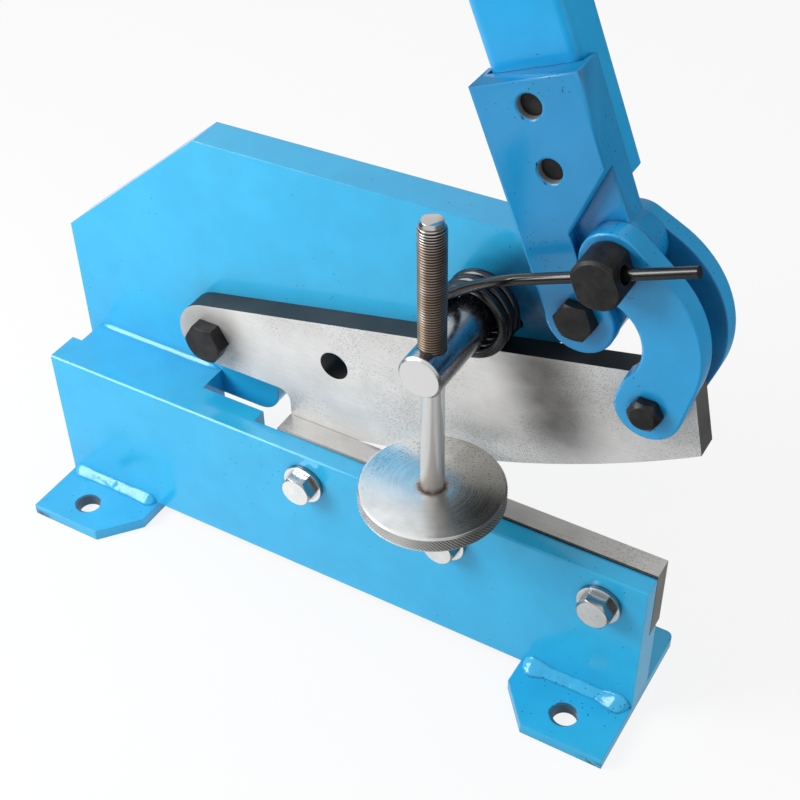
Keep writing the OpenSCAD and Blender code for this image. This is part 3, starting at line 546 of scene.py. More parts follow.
def turned_disc(centre):
    """Polished steel, ground a little out of true: ring marks, painted shade on its right and rear and in the
    knurl, and a rusty ring at the shank.
    """
    material, tree, shader = finish("turned_disc")
    place = object_place(tree)
    marks = use(tree, turning, Centre=tuple(centre), Rings=1500.0)
    pit = use(tree, specks, Spacing=1000.0, Share=0.7, Size=0.4)["Speck"]
    tone = patchy(tree, place, 60.0, 4.0, 0.3, 0.72)
    colour = blended(tree, tone, rgb(0.70, 0.70, 0.69), rgb(0.86, 0.865, 0.86))
    # Painted shade on the disc's right and rear side
    offset = vectors(tree, "SUBTRACT", place, tuple(centre))
    aside = vectors(tree, "DOT_PRODUCT", offset, SHADED_DISC_SIDE)
    uneven = times(tree, clouds(tree, place, 55.0, 4.0), DISC_SHADE_UNEVEN)
    oil_and_shade = ramped(tree, maths(tree, "ADD", aside, uneven), *DISC_SHADE)
    colour = tinted(tree, colour, oil_and_shade, 0.7, rgb(0.15, 0.142, 0.12))
    ring = ramped(tree, marks["Ring"], 0.25, 0.75, 0.92, 1.05)
    colour = blended(tree, 1.0, colour, ring, "MULTIPLY")
    rust_uneven = times(tree, clouds(tree, place, 520.0, 4.0), DISC_RUST_UNEVEN)
    rust = ramped(tree, maths(tree, "ADD", marks["Distance"], rust_uneven), *DISC_RUST)
    colour = tinted(tree, colour, rust, 0.8, rgb(0.13, 0.068, 0.032))
    colour = tinted(tree, colour, pit, 0.8, rgb(0.08, 0.075, 0.065))
    # Painted shade in the knurl's grooves
    shade = ramped(tree, groove_depth(tree), 0.45, 0.92, 0.0, 0.92)
    colour = blended(tree, shade, colour, rgb(0.06, 0.055, 0.05))
    polish = ramped(tree, marks["Ring"], 0.3, 0.7, 0.17, 0.26)
    rough = ramped(tree, rust, 0.0, 1.0, polish, 0.6)
    leaning = bumped(tree, parts(tree, place)[1], DISC_LEAN, 1.0)
    normal = bumped(tree, marks["Ring"], 0.15 * MM, 0.06, leaning)
    tangent = node(tree, "ShaderNodeTangent", None, direction_type="UV_MAP", uv_map="around").outputs[0]
    connect(tree, shader, Base_Color=colour, Roughness=rough, Normal=normal, Tangent=tangent)
    connect(tree, shader, Metallic=1.0, Anisotropic=0.35)
    return material


def chrome(centre):
    """Polished chrome with fine scratches, and lathe rings on the end face."""
    material, tree, shader = finish("chrome")
    place = object_place(tree)
    edges = use(tree, edge_rounding, Radius=0.5 * MM)
    rings = use(tree, turning, Centre=tuple(centre), Across=ABOUT_Y, Rings=2200.0)
    pit = use(tree, specks, Spacing=900.0, Share=0.2, Size=0.2)["Speck"]
    facing = parts(tree, surface_normal(tree))
    end_face = ramped(tree, maths(tree, "ABSOLUTE", facing[1]), 0.6, 0.9)
    tone = patchy(tree, place, 120.0, 3.0)
    colour = blended(tree, tone, rgb(0.35, 0.37, 0.39), rgb(0.46, 0.47, 0.48))
    colour = blended(tree, end_face, colour, rgb(0.76, 0.765, 0.76))
    colour = tinted(tree, colour, pit, 0.5, rgb(0.2, 0.2, 0.2))
    smear = patchy(tree, place, 380.0, 4.0, 0.4, 0.75, 0.2, 0.32)
    rough = ramped(tree, end_face, 0.0, 1.0, smear, 0.34)
    normal = bumped(tree, rings["Ring"], 0.1 * MM, 0.06, edges["Normal"])
    connect(tree, shader, Base_Color=colour, Roughness=rough, Normal=normal, Metallic=1.0)
    return material


def thread_steel():
    """Rolled thread with oily brown patches and painted shade in its grooves, a clean tip, and a bright drawn
    shank below.
    """
    material, tree, shader = finish("thread_steel")
    place = object_place(tree)
    height = parts(tree, place)[2]
    threaded = ramped(tree, height, *THREAD_STARTS)
    clean_tip = ramped(tree, height, *CLEAN_TIP)
    oil_and_shade = patchy(tree, place, 90.0, 4.0, 0.25, 0.6, 0.55, 1.0)
    oil_and_shade = times(tree, oil_and_shade, threaded, maths(tree, "SUBTRACT", 1.0, clean_tip))
    clean = blended(tree, threaded, rgb(0.94, 0.94, 0.93), rgb(0.50, 0.49, 0.48))
    colour = blended(tree, oil_and_shade, clean, rgb(0.25, 0.195, 0.145))
    # Painted shade in the thread's grooves
    shade = ramped(tree, groove_depth(tree), 0.05, 0.7, 0.0, 0.95)
    colour = blended(tree, shade, colour, rgb(0.05, 0.034, 0.024))
    foot = ramped(tree, height, *SHANK_RUST)
    rusty = times(tree, foot, patchy(tree, place, 460.0, 4.0, 0.35, 0.6))
    colour = blended(tree, rusty, colour, rgb(0.13, 0.065, 0.03))
    polish = ramped(tree, clean_tip, 0.3, 0.9, 0.34, 0.14)
    rough = ramped(tree, threaded, 0.0, 1.0, 0.1, polish)
    rough = maths(tree, "ADD", rough, times(tree, rusty, 0.35))
    fine = bumped(tree, clouds(tree, place, 800.0, 3.0), 0.2 * MM, 0.04)
    metal = ramped(tree, threaded, 0.0, 1.0, 0.55, 1.0)
    connect(tree, shader, Base_Color=colour, Roughness=rough, Metallic=metal, Normal=fine)
    return material


def black_plastic():
    """Moulded black plastic with a fine sparkle texture."""
    material, tree, shader = finish("black_plastic")
    place = object_place(tree)
    edges = use(tree, edge_rounding, Radius=1.2 * MM)
    dust = patchy(tree, place, 80.0, 4.0, 0.45, 0.8)
    colour = tinted(tree, rgb(0.012, 0.012, 0.013), dust, 0.4, rgb(0.05, 0.05, 0.05))
    rough = ramped(tree, dust, 0.0, 1.0, 0.42, 0.6)
    normal = bumped(tree, clouds(tree, place, 1500.0, 2.0), 0.3 * MM, 0.15, edges["Normal"])
    connect(tree, shader, Base_Color=colour, Roughness=rough, Normal=normal)
    return material


LINK_LOOK = {"tone": (0.7, 0.76, 0.88), "peel": 0.05, "worn_and_lit_edges": 0.35, "roughness": 0.2, "lumps": 0.04}
# Corner shade in these looks is painted shade: strong on the casting, and wide on the links so that they
# darken round the anchor head. The plate's extra mark is a painted shadow behind the spring, and the rear
# link's is painted shade between the links.
paints = {
    "plate_paint": {"speck_share": 0.03, "wear_and_shade": painted_spring_shadow, "wear_and_shade_colour": PAINTED_SHADOW_NAVY},
    "beam_paint": {"speck_share": 0.03, "worn_and_lit_edges": 0.08, "edge_radius": 0.4 * MM, "filled_seam": BEAM_HIGH.y},
    "tube_paint": {"tone": (0.3, 0.80, 0.94), "speck_share": 0.03},
    "foot_paint": {"speck_share": 0.07, "worn_and_lit_edges": 0.35, "wear_and_shade": foot_wear_and_hole_shade},
    "cast_paint": {"tone": (0.3, 0.57, 0.71), "peel": 0.06, "speck_share": 0.22, "roughness": 0.2,
                   "lumps": 0.06, "wear_and_shade": bolt_hole_scuff, "wear_and_shade_colour": BARE_STEEL,
                   "corner_reach": 6 * MM, "corner_shade": 1.0},
    "link_paint": {**LINK_LOOK, "speck_share": 0.25, "corner_reach": 28 * MM, "corner_shade": 0.95},
    "inner_link_paint": {**LINK_LOOK, "speck_share": 0.14, "wear_and_shade": painted_shade_between_links,
                         "wear_and_shade_colour": PAINTED_SHADE_BLUE},
    "weld_paint": {"peel": 0.05, "speck_share": 0.35, "roughness": 0.14, "lumps": 0.12},
}
finishes = {name: paint(name, **look) for name, look in paints.items()}
finishes.update({
    "black_oxide": black_oxide("black_oxide"),
    "pitted_black": black_oxide("pitted_black", shine=0.44, edge=0.3, pits=0.45),
    "spring_black": spring_black(),
    "moving_blade": blade_steel("moving_blade", moving_scale, 1.1, blade_painted_shade),
    "fixed_blade": blade_steel("fixed_blade", fixed_scale, tone=0.8),
    "zinc": zinc(),
    "chrome": chrome(POST),
    "turned_disc": turned_disc(SPINDLE),
    "thread_steel": thread_steel(),
    "black_plastic": black_plastic(),
})
node_finish = {
    "lower_beam": "beam_paint", "back_plate": "plate_paint", "spacer_block": "beam_paint",
    "left_foot": "foot_paint", "right_foot": "foot_paint", "lever_casting": "cast_paint",
    "handle_tube": "tube_paint", "front_link": "link_paint", "rear_link": "inner_link_paint",
    "weld_beads": "weld_paint", "anchor_pin": "pitted_black", "return_spring": "spring_black",
    "upper_blade": "moving_blade", "lower_blade": "fixed_blade", "lower_blade_bolts": "zinc",
    "hold_down_disc": "turned_disc", "hold_down_post": "chrome", "hold_down_spindle": "thread_steel",
    "handle_plug": "black_plastic",
}
for node_name, cad_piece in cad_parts.items():
    chosen = finishes[node_finish.get(node_name, "black_oxide")]
    for slot in cad_piece.material_slots:
        slot.material = chosen


# Pieces grown by node trees

def geometry_tree(name, inputs):
    """An empty geometry tree with named inputs, and its inner sockets."""
    tree = bpy.data.node_groups.new(name, "GeometryNodeTree")
    tree.interface.new_socket("Geometry", in_out="INPUT", socket_type="NodeSocketGeometry")
    for label, value in inputs.items():
        kind = "NodeSocketInt" if isinstance(value, int) else "NodeSocketFloat"
        tree.interface.new_socket(label, in_out="INPUT", socket_type=kind).default_value = value
    tree.interface.new_socket("Finish", in_out="INPUT", socket_type="NodeSocketMaterial")
    tree.interface.new_socket("Geometry", in_out="OUTPUT", socket_type="NodeSocketGeometry")
    return tree, tree.nodes.new("NodeGroupInput").outputs, tree.nodes.new("NodeGroupOutput").inputs


def close_tree(tree, given, out, geometry, smooth=True):
    """Ends a tree with plain geometry in its finish, shaded smooth unless its facets are to show."""
    if smooth:
        geometry = node(tree, "GeometryNodeSetShadeSmooth", {0: geometry, "Shade Smooth": True}).outputs[0]
    plain = node(tree, "GeometryNodeRealizeInstances", {0: geometry}).outputs[0]
    values = {"Geometry": plain, "Material": given["Finish"]}
    fill(tree, out, {"Geometry": node(tree, "GeometryNodeSetMaterial", values).outputs[0]})


def point_place(tree):
    """The place of each point."""
    return node(tree, "GeometryNodeInputPosition").outputs[0]


def moved(tree, geometry, **where):
    """Geometry with its points shifted by an Offset or set to a Position."""
    return node(tree, "GeometryNodeSetPosition", {"Geometry": geometry, **where}).outputs[0]


def grown(name, mesh, tree, values, finish_name):
    """A plain piece: the mesh that a tree grows from a start mesh."""
    start = bpy.data.objects.new(name + "_start", mesh)
    bpy.context.scene.collection.objects.link(start)
    modifier = start.modifiers.new("shape", "NODES")
    modifier.node_group = tree
    for item in tree.interface.items_tree:
        if item.in_out == "INPUT" and item.name in values:
            modifier[item.identifier] = values[item.name]
        elif item.name == "Finish":
            modifier[item.identifier] = finishes[finish_name]
    bpy.context.view_layer.update()
    settled = start.evaluated_get(bpy.context.evaluated_depsgraph_get())
    piece = bpy.data.objects.new(name, bpy.data.meshes.new_from_object(settled))
    start.modifiers.remove(modifier)
    bpy.data.objects.remove(start)
    bpy.context.scene.collection.objects.link(piece)
    piece.data.name = name
    return piece


def line_mesh(name, lines):
    """A mesh of open lines of points."""
    points = [tuple(p) for line in lines for p in line]
    edges = []
    first = 0
    for line in lines:
        edges += [(first + i, first + i + 1) for i in range(len(line) - 1)]
        first += len(line)
    mesh = bpy.data.meshes.new(name)
    mesh.from_pydata(points, edges, [])
    return mesh


def turned_points(profile, sides):
    """The points of a profile of (radius, height), set around the vertical axis."""
    points = []
    for k in range(sides):
        turn = 2 * math.pi * k / sides
        points += [(r * math.cos(turn), r * math.sin(turn), z) for r, z in profile]
    return points


def lathe_mesh(name, profile, sides, uv_name):
    """A closed ring of a profile, with a UV map that runs around it."""
    mesh = bpy.data.meshes.new(name)
    rows = len(profile)
    faces = []
    for k in range(sides):
        a, b = k * rows, (k + 1) % sides * rows
        for i in range(rows):
            j = (i + 1) % rows
            faces.append((a + i, b + i, b + j, a + j))
    mesh.from_pydata(turned_points(profile, sides), [], faces)
    layer = mesh.uv_layers.new(name=uv_name)
    for polygon in mesh.polygons:
        k, i = divmod(polygon.index, rows)
        corners = ((k, i), (k + 1, i), (k + 1, i + 1), (k, i + 1))
        for loop, (turn, row) in zip(polygon.loop_indices, corners):
            layer.data[loop].uv = (turn / sides, row / rows)
    return mesh


def capped_lathe(name, profile, sides):
    """A solid turned from an open profile that starts and ends on the axis."""
    mesh = bpy.data.meshes.new(name)
    inner = profile[1:-1]
    rows = len(inner)
    points = turned_points(inner, sides)
    points += [(0.0, 0.0, profile[0][1]), (0.0, 0.0, profile[-1][1])]
    faces = []
    for k in range(sides):
        a, b = k * rows, (k + 1) % sides * rows
        faces += [(a + i, b + i, b + i + 1, a + i + 1) for i in range(rows - 1)]
        faces.append((b, a, len(points) - 2))
        faces.append((a + rows - 1, b + rows - 1, len(points) - 1))
    mesh.from_pydata(points, [], faces)
    return mesh


# Cast and forged pieces, whose edges are round under thick paint

MERGE_REACH = 0.002 * MM
FLAT_ANGLE = math.radians(0.5)
FRONT_SHARE = 0.9
FLAT_SHARE = 0.995
LEAST_WALL = 1.5 * MM
SHARP_ANGLE = math.radians(30)
BRIDGED = ("front_link", "rear_link")
CORNER_ANGLE = math.radians(15)
CORNER_REACH = 14 * MM
ROUNDING_STEPS = 3


def rim_neighbours(shape):
    """For each vertex on the outline of a flat face, the next ones along that outline."""
    rims = {}
    for edge in shape.edges:
        flat = [abs(face.normal.y) > FRONT_SHARE for face in edge.link_faces]
        if sorted(flat) == [False, True]:
            for vert in edge.verts:
                rims.setdefault(vert, []).append(edge.other_vert(vert))
    return rims


def rim_run(rims, corner):
    """The outline's vertices near a corner, in order, and the corner's place among them."""
    halves = []
    for first in rims[corner]:
        half, last, here = [], corner, first
        while (here.co - corner.co).length < CORNER_REACH and len(rims[here]) == 2:
            half.append(here)
            last, here = here, next(v for v in rims[here] if v is not last)
        halves.append(half)
    return halves[0][::-1] + [corner] + halves[1], len(halves[0])


def bridge_corners(shape):
    """Draws a straight tangent over each sharp corner in which two curves of the outline meet."""
    rims = rim_neighbours(shape)
    corners = []
    for edge in shape.edges:
        along = (edge.verts[0].co - edge.verts[1].co).normalized()
        if abs(along.y) > FRONT_SHARE and not edge.is_convex and edge.calc_face_angle(0.0) > CORNER_ANGLE:
            outward = edge.link_faces[0].normal + edge.link_faces[1].normal
            corners += [(vert, outward) for vert in edge.verts if len(rims.get(vert, ())) == 2]
    for corner, outward in corners:
        run, at = rim_run(rims, corner)
        spots = [v.co.copy() for v in run]
        for i, j in ((i, j) for i in range(at) for j in range(at + 1, len(run))):
            across = spots[j] - spots[i]
            normal = Vector((-across.z, 0, across.x)).normalized()
            normal *= 1 if normal.dot(outward) > 0 else -1
            if all((spot - spots[i]).dot(normal) < MERGE_REACH for spot in spots):
                for k in range(i + 1, j):
                    run[k].co = spots[i].lerp(spots[j], (k - i) / (j - i))
                break


def mark_front_edges(shape):
    """Gives the edges to be rounded their bevel weight, and marks the other sharp ones."""
    weights = shape.edges.layers.float.new("bevel_weight_edge")
    for edge in shape.edges:
        fronts = [face for face in edge.link_faces if face.normal.y < -FRONT_SHARE]
        depths = [vert.co.y for face in edge.link_faces for vert in face.verts]
        if len(fronts) == 1 and edge.is_convex and max(depths) - min(depths) > LEAST_WALL:
            edge[weights] = 1.0
        elif edge.calc_face_angle(0.0) > SHARP_ANGLE:
            edge.smooth = False
    for face in shape.faces:
        face.smooth = True


def rounded_mesh(blank, width):
    """The mesh of a blank with its weighted edges rounded, and no slivers left."""
    rounding = blank.modifiers.new("rounding", "BEVEL")
    rounding.width = width
    rounding.segments = ROUNDING_STEPS
    rounding.limit_method = "WEIGHT"
    rounding.harden_normals = True
    rounding.use_clamp_overlap = False
    bpy.context.view_layer.update()
    graph = bpy.context.evaluated_depsgraph_get()
    settled = blank.evaluated_get(graph)
    mesh = bpy.data.meshes.new_from_object(settled, preserve_all_data_layers=True, depsgraph=graph)
    cleaned = bmesh.new()
    cleaned.from_mesh(mesh)
    bmesh.ops.remove_doubles(cleaned, verts=cleaned.verts, dist=MERGE_REACH)
    bmesh.ops.dissolve_degenerate(cleaned, dist=MERGE_REACH, edges=cleaned.edges)
    for face in cleaned.faces:
        face.smooth = abs(face.normal.y) < FLAT_SHARE
    cleaned.to_mesh(mesh)
    cleaned.free()
    return mesh


def softened(node_name, width):
    """A copy of a CAD piece with the edges of its front faces rounded, which stands for it."""
    shape = bmesh.new()
    shape.from_mesh(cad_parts[node_name].data)
    bmesh.ops.remove_doubles(shape, verts=shape.verts, dist=MERGE_REACH)
    bmesh.ops.dissolve_limit(shape, angle_limit=FLAT_ANGLE, verts=shape.verts, edges=shape.edges)
    if node_name in BRIDGED:
        bridge_corners(shape)
    mark_front_edges(shape)
    mesh = bpy.data.meshes.new(node_name + "_blank")
    shape.to_mesh(mesh)
    shape.free()
    blank = bpy.data.objects.new(node_name + "_blank", mesh)
    bpy.context.scene.collection.objects.link(blank)
    piece = bpy.data.objects.new("soft_" + node_name, rounded_mesh(blank, width))
    bpy.data.objects.remove(blank)
    bpy.context.scene.collection.objects.link(piece)
    piece.data.materials.clear()
    piece.data.materials.append(finishes[node_finish[node_name]])
    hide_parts(node_name)
    return piece


for node_name, body, width in (("lever_casting", "lever", 1.0 * MM), ("front_link", "links", 0.8 * MM),
                               ("rear_link", "links", 0.8 * MM)):
    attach(softened(node_name, width), body)


# The return spring: the same wire as the solid, drawn smooth

WIRE_R = 4.7 * MM / 2
WIRE_SIDES = 20
COIL_R = 15.5 * MM
COIL_TURNS = 3.5
COIL_PITCH = 5.25 * MM
COIL_LEAVE = math.radians(130)
COIL_POINTS = 56
TAIL_BEND = 3.9 * MM
TAIL_DEEP = 8 * MM
TAIL_POINTS = 9
TAIL_STEP = 10
ARM_SLOPE = math.radians(22)
ARM_STRAIGHT = 38 * MM
ARM_PAST = 39 * MM
ARM_LEAD = 6 * MM
ARM_EASE = 9 * MM
ARM_POINTS = 24
ARM_SINK = 0.85
EYE = middle("anchor_nut")
ARM_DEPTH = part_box("anchor_pin")[0].y + 8.5 * MM


def coil_spot(turn):
    """A place on the coil in the front view, some turns from its front, and the wire's heading there."""
    angle = COIL_LEAVE + 2 * math.pi * turn
    spot = Vector((POST.x + COIL_R * math.cos(angle), 0, POST.z + COIL_R * math.sin(angle)))
    return spot, Vector((math.sin(angle), 0, -math.cos(angle)))


def eased(share):
    """A share from 0 to 1 that starts and ends gently."""
    return share * share * (3 - 2 * share)


def spring_line():
    """The middle of the wire, from its end in the back plate to the free end of the arm."""
    coil_rear = PLATE_FRONT - TAIL_BEND
    coil_front = coil_rear - COIL_TURNS * COIL_PITCH
    inward = Vector((0, 1, 0))
    spot, heading = coil_spot(COIL_TURNS)
    line = [spot - TAIL_BEND * heading + inward * (PLATE_FRONT + TAIL_DEEP * s) for s in (1.0, 0.5)]
    for step in range(TAIL_POINTS):
        bend = math.radians(TAIL_STEP * step)
        depth = coil_rear + TAIL_BEND * (1 - math.sin(bend))
        line.append(spot - TAIL_BEND * math.cos(bend) * heading + inward * depth)
    steps = int(COIL_TURNS * COIL_POINTS)
    for step in range(steps + 1):
        turn = COIL_TURNS * (1 - step / steps)
        line.append(coil_spot(turn)[0] + inward * (coil_front + turn * COIL_PITCH))
    spot, heading = coil_spot(0)
    arm = Vector((math.cos(ARM_SLOPE), 0, math.sin(ARM_SLOPE)))
    eye = Vector((EYE.x, 0, EYE.z))
    start = spot + ARM_LEAD * heading
    join = eye - ARM_STRAIGHT * arm
    hold = (start, start + ARM_EASE * heading, join - ARM_EASE * arm, join)
    for step in range(ARM_POINTS + 1):
        s = step / ARM_POINTS
        shares = ((1 - s) ** 3, 3 * s * (1 - s) ** 2, 3 * s * s * (1 - s), s ** 3)
        flat = sum((share * point for share, point in zip(shares, hold)), Vector())
        depth = coil_front + (ARM_DEPTH - coil_front) * (1 - ARM_SINK + ARM_SINK * eased(s))
        line.append(flat + inward * depth)
    for share in (0.5, 0.0):
        line.append(eye - ARM_STRAIGHT * share * arm + inward * ARM_DEPTH)
    for share in (0.5, 0.97, 1.0):
        line.append(eye + ARM_PAST * share * arm + inward * ARM_DEPTH)
    return line


def make_wire_tree():
    """A round wire along lines, with closed ends."""
    tree, given, out = geometry_tree("wire_along_lines", {"Radius": WIRE_R, "Sides": WIRE_SIDES})
    lines = node(tree, "GeometryNodeMeshToCurve", {0: given["Geometry"]}).outputs[0]
    values = {"Resolution": given["Sides"], "Radius": given["Radius"]}
    ring = node(tree, "GeometryNodeCurvePrimitiveCircle", values).outputs[0]
    values = {"Curve": lines, "Profile Curve": ring, "Fill Caps": True}
    close_tree(tree, given, out, node(tree, "GeometryNodeCurveToMesh", values).outputs[0])
    return tree


spring = grown("spring_wire", line_mesh("spring_line", [spring_line()]), make_wire_tree(),
               {"Radius": WIRE_R, "Sides": WIRE_SIDES}, "spring_black")
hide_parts("return_spring")
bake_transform(spring)


# The hold-down screw and its knurled disc

SHANK_R = 5.4 * MM
SHANK_NECK = 0.4 * MM
SCREW_SIDES = 40
THREAD_PITCH = 1.25 * MM
THREAD_DEPTH = 0.65 * MM
THREAD_ROWS = 10
THREAD_FLANK = (0.06, 0.44)
THREAD_RUN_OUT = 1.2 * MM
TIP_TAPER = 0.25
TIP_SHARE = 0.73
DISC_R = (DISC_HIGH.x - DISC_LOW.x) / 2
DISC_BORE = 5.45 * MM
DISC_BEVEL = 0.8 * MM
DISC_FACE = 1.4 * DISC_BEVEL
DISC_BAND = 0.35 * MM
DISC_NECK = 0.25 * MM
KNURL_ROWS = 26
KNURL_COUNT = 120
KNURL_SIDES = 6
KNURL_DEPTH = 0.5 * MM
SECOND_KNURL = 0.6
RIM_REACH = 0.1 * MM


def turn_share(tree, part):
    """The share of a full turn about the vertical axis."""
    return maths(tree, "DIVIDE", maths(tree, "ARCTAN2", part[1], part[0]), 2 * math.pi)


def from_middle(tree, value):
    """How far the fractional part of a value is from a half."""
    return maths(tree, "ABSOLUTE", maths(tree, "SUBTRACT", maths(tree, "FRACT", value), 0.5))


def pressed_in(tree, given, flat, groove):
    """The given piece, pressed in towards its axis by a groove that is kept for its finish."""
    depth = times(tree, groove, given["Depth"], -1.0)
    shift = scaled(tree, vectors(tree, "NORMALIZE", flat), depth)
    values = {"Geometry": given["Geometry"], "Name": "groove", "Value": groove}
    marked = node(tree, "GeometryNodeStoreNamedAttribute", values).outputs[0]
    return moved(tree, marked, Offset=shift)


def make_thread_tree():
    """A thread cut into a round bar about the vertical axis through the origin, between two heights."""
    inputs = {"Pitch": THREAD_PITCH, "Depth": THREAD_DEPTH, "Start": 0.0, "End": 0.1}
    tree, given, out = geometry_tree("cut_thread", inputs)
    place = point_place(tree)
    part = parts(tree, place)
    climb = maths(tree, "SUBTRACT", maths(tree, "DIVIDE", part[2], given["Pitch"]), turn_share(tree, part))
    cut = ramped(tree, from_middle(tree, climb), *THREAD_FLANK)
    above = ramped(tree, part[2], given["Start"], maths(tree, "ADD", given["Start"], given["Pitch"]))
    below = ramped(tree, part[2], maths(tree, "ADD", given["End"], given["Pitch"]), given["End"])
    groove = times(tree, cut, above, below)
    close_tree(tree, given, out, pressed_in(tree, given, vectors(tree, "MULTIPLY", place, ABOUT_Z), groove))
    return tree


def spindle_profile():
    """The screw's outline from its foot in the disc to its tapered top, with rows for the thread."""
    radius = (SPINDLE_HIGH.x - SPINDLE_LOW.x) / 2
    top = SPINDLE_HIGH.z
    profile = [(0.0, SPINDLE_LOW.z), (SHANK_R, SPINDLE_LOW.z), (SHANK_R, THREAD_BOTTOM - SHANK_NECK)]
    step = THREAD_PITCH / THREAD_ROWS
    rows = int((top - THREAD_BOTTOM) / step)
    for row in range(rows + 1):
        height = THREAD_BOTTOM + row * step
        taper = max(0.0, (height - THREAD_TOP) / SPINDLE_TAPER)
        profile.append((radius * (1 - TIP_TAPER * taper), height))
    profile += [(TIP_SHARE * radius, top), (0.0, top)]
    return profile


screw_bar = capped_lathe("screw_bar", spindle_profile(), SCREW_SIDES)
screw = grown("hold_down_screw", screw_bar, make_thread_tree(),
              {"Start": THREAD_BOTTOM, "End": THREAD_TOP + THREAD_RUN_OUT, "Depth": THREAD_DEPTH,
               "Pitch": THREAD_PITCH}, "thread_steel")
screw.data.transform(Matrix.Translation((SPINDLE.x, SPINDLE.y, 0)))
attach(screw, "hold_down")
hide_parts("hold_down_spindle")


def disc_profile():
    """The disc's outline: bore, flat faces, rounded bevels and a rim with rows for the knurl."""
    low, high = DISC_LOW.z, DISC_HIGH.z
    rim_low, rim_high = low + DISC_BEVEL, high - DISC_BEVEL
    neck = DISC_R - DISC_NECK
    run = rim_high - rim_low - 2 * DISC_BAND
    profile = [(DISC_BORE, low), (DISC_R - 6 * MM, low), (DISC_R - DISC_FACE, low)]
    profile += [(DISC_R - DISC_BEVEL, low + 0.1 * MM)]
    profile += [(neck, rim_low), (neck, rim_low + 0.8 * DISC_BAND)]
    profile += [(DISC_R, rim_low + DISC_BAND + run * row / KNURL_ROWS) for row in range(KNURL_ROWS + 1)]
    profile += [(neck, rim_high - 0.8 * DISC_BAND), (neck, rim_high)]
    profile += [(DISC_R - DISC_BEVEL, high - 0.12 * MM), (DISC_R - DISC_FACE, high)]
    profile += [(DISC_R - inset, high) for inset in (3 * MM, 9 * MM, 18 * MM)]
    profile += [(DISC_BORE + 2 * MM, high), (DISC_BORE, high)]
    return profile


def make_knurl_tree():
    """Crossed grooves pressed into the rim of a disc about the vertical axis through the origin."""
    inputs = {"Radius": DISC_R, "Count": float(KNURL_COUNT), "Depth": KNURL_DEPTH}
    tree, given, out = geometry_tree("press_knurl", inputs)
    place = point_place(tree)
    part = parts(tree, place)
    around = times(tree, turn_share(tree, part), given["Count"])
    pitch = maths(tree, "DIVIDE", times(tree, given["Radius"], 2 * math.pi), given["Count"])
    up = maths(tree, "DIVIDE", part[2], pitch)
    rising = from_middle(tree, maths(tree, "ADD", around, up))
    falling = from_middle(tree, maths(tree, "SUBTRACT", around, up))
    deeper = maths(tree, "MAXIMUM", rising, times(tree, falling, SECOND_KNURL))
    flat = vectors(tree, "MULTIPLY", place, ABOUT_Z)
    rim = maths(tree, "SUBTRACT", given["Radius"], RIM_REACH)
    on_rim = maths(tree, "GREATER_THAN", vectors(tree, "LENGTH", flat), rim)
    groove = times(tree, deeper, 2.0, on_rim)
    close_tree(tree, given, out, pressed_in(tree, given, flat, groove), smooth=False)
    return tree


disc_blank = lathe_mesh("disc_blank", disc_profile(), KNURL_COUNT * KNURL_SIDES, "around")
disc = grown("knurled_disc", disc_blank, make_knurl_tree(),
             {"Radius": DISC_R, "Count": float(KNURL_COUNT), "Depth": KNURL_DEPTH}, "turned_disc")
disc.data.transform(Matrix.Translation((SPINDLE.x, SPINDLE.y, 0)))
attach(disc, "hold_down")
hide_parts("hold_down_disc")


# Weld beads

BEAD_IN = 1.5 * MM
BEAD_STEP = 0.5 * MM
BEAD_SIDES = 32
END_SHARE = 0.1
LEAST_END = 0.006
FULL_END = (0.09, 0.3)
BODY_SIZE = 0.95
LUMP_SCALE = 150.0


def make_bead_tree():
    """A weld bead along lines: a flat, lumpy fillet with full ends."""
    inputs = {"Radius": 4 * MM, "Lump": 1 * MM, "Flatness": 1.25, "Ends": 1.3, "Lowest": 0.0}
    tree, given, out = geometry_tree("weld_bead", inputs)
    lines = node(tree, "GeometryNodeMeshToCurve", {0: given["Geometry"]}).outputs[0]
    values = {"Curve": lines, "Length": BEAD_STEP}
    fine = node(tree, "GeometryNodeResampleCurve", values, mode="LENGTH").outputs[0]
    share = node(tree, "GeometryNodeSplineParameter").outputs["Factor"]
    from_end = maths(tree, "MINIMUM", share, maths(tree, "SUBTRACT", 1.0, share))
    near_end = maths(tree, "MAXIMUM", maths(tree, "DIVIDE", from_end, END_SHARE, clamp=True), LEAST_END)
    round_end = maths(tree, "SQRT", times(tree, near_end, maths(tree, "SUBTRACT", 2.0, near_end)))
    full_end = ramped(tree, from_end, *FULL_END, given["Ends"], BODY_SIZE)
    size = times(tree, round_end, full_end, given["Radius"])
    values = {"Resolution": BEAD_SIDES, "Radius": 1.0}
    ring = node(tree, "GeometryNodeCurvePrimitiveCircle", values).outputs[0]
    spot = point_place(tree)
    spread = parts(tree, vectors(tree, "ABSOLUTE", spot))
    powers = [maths(tree, "POWER", spread[axis], given["Flatness"]) for axis in (0, 1)]
    pull = maths(tree, "POWER", maths(tree, "ADD", *powers), maths(tree, "DIVIDE", -1.0, given["Flatness"]))
    outline = moved(tree, ring, Position=scaled(tree, spot, pull))
    values = {"Curve": fine, "Profile Curve": outline, "Fill Caps": True, "Scale": size}
    tube = node(tree, "GeometryNodeCurveToMesh", values).outputs[0]
    outward = node(tree, "GeometryNodeInputNormal").outputs[0]
    lump = maths(tree, "SUBTRACT", clouds(tree, point_place(tree), LUMP_SCALE, 3.0), 0.5)
    lumpy = moved(tree, tube, Offset=scaled(tree, outward, times(tree, lump, given["Lump"])))
    settled = parts(tree, point_place(tree))
    kept = joined(tree, settled[0], settled[1], maths(tree, "MAXIMUM", settled[2], given["Lowest"]))
    close_tree(tree, given, out, moved(tree, lumpy, Position=kept))
    return tree


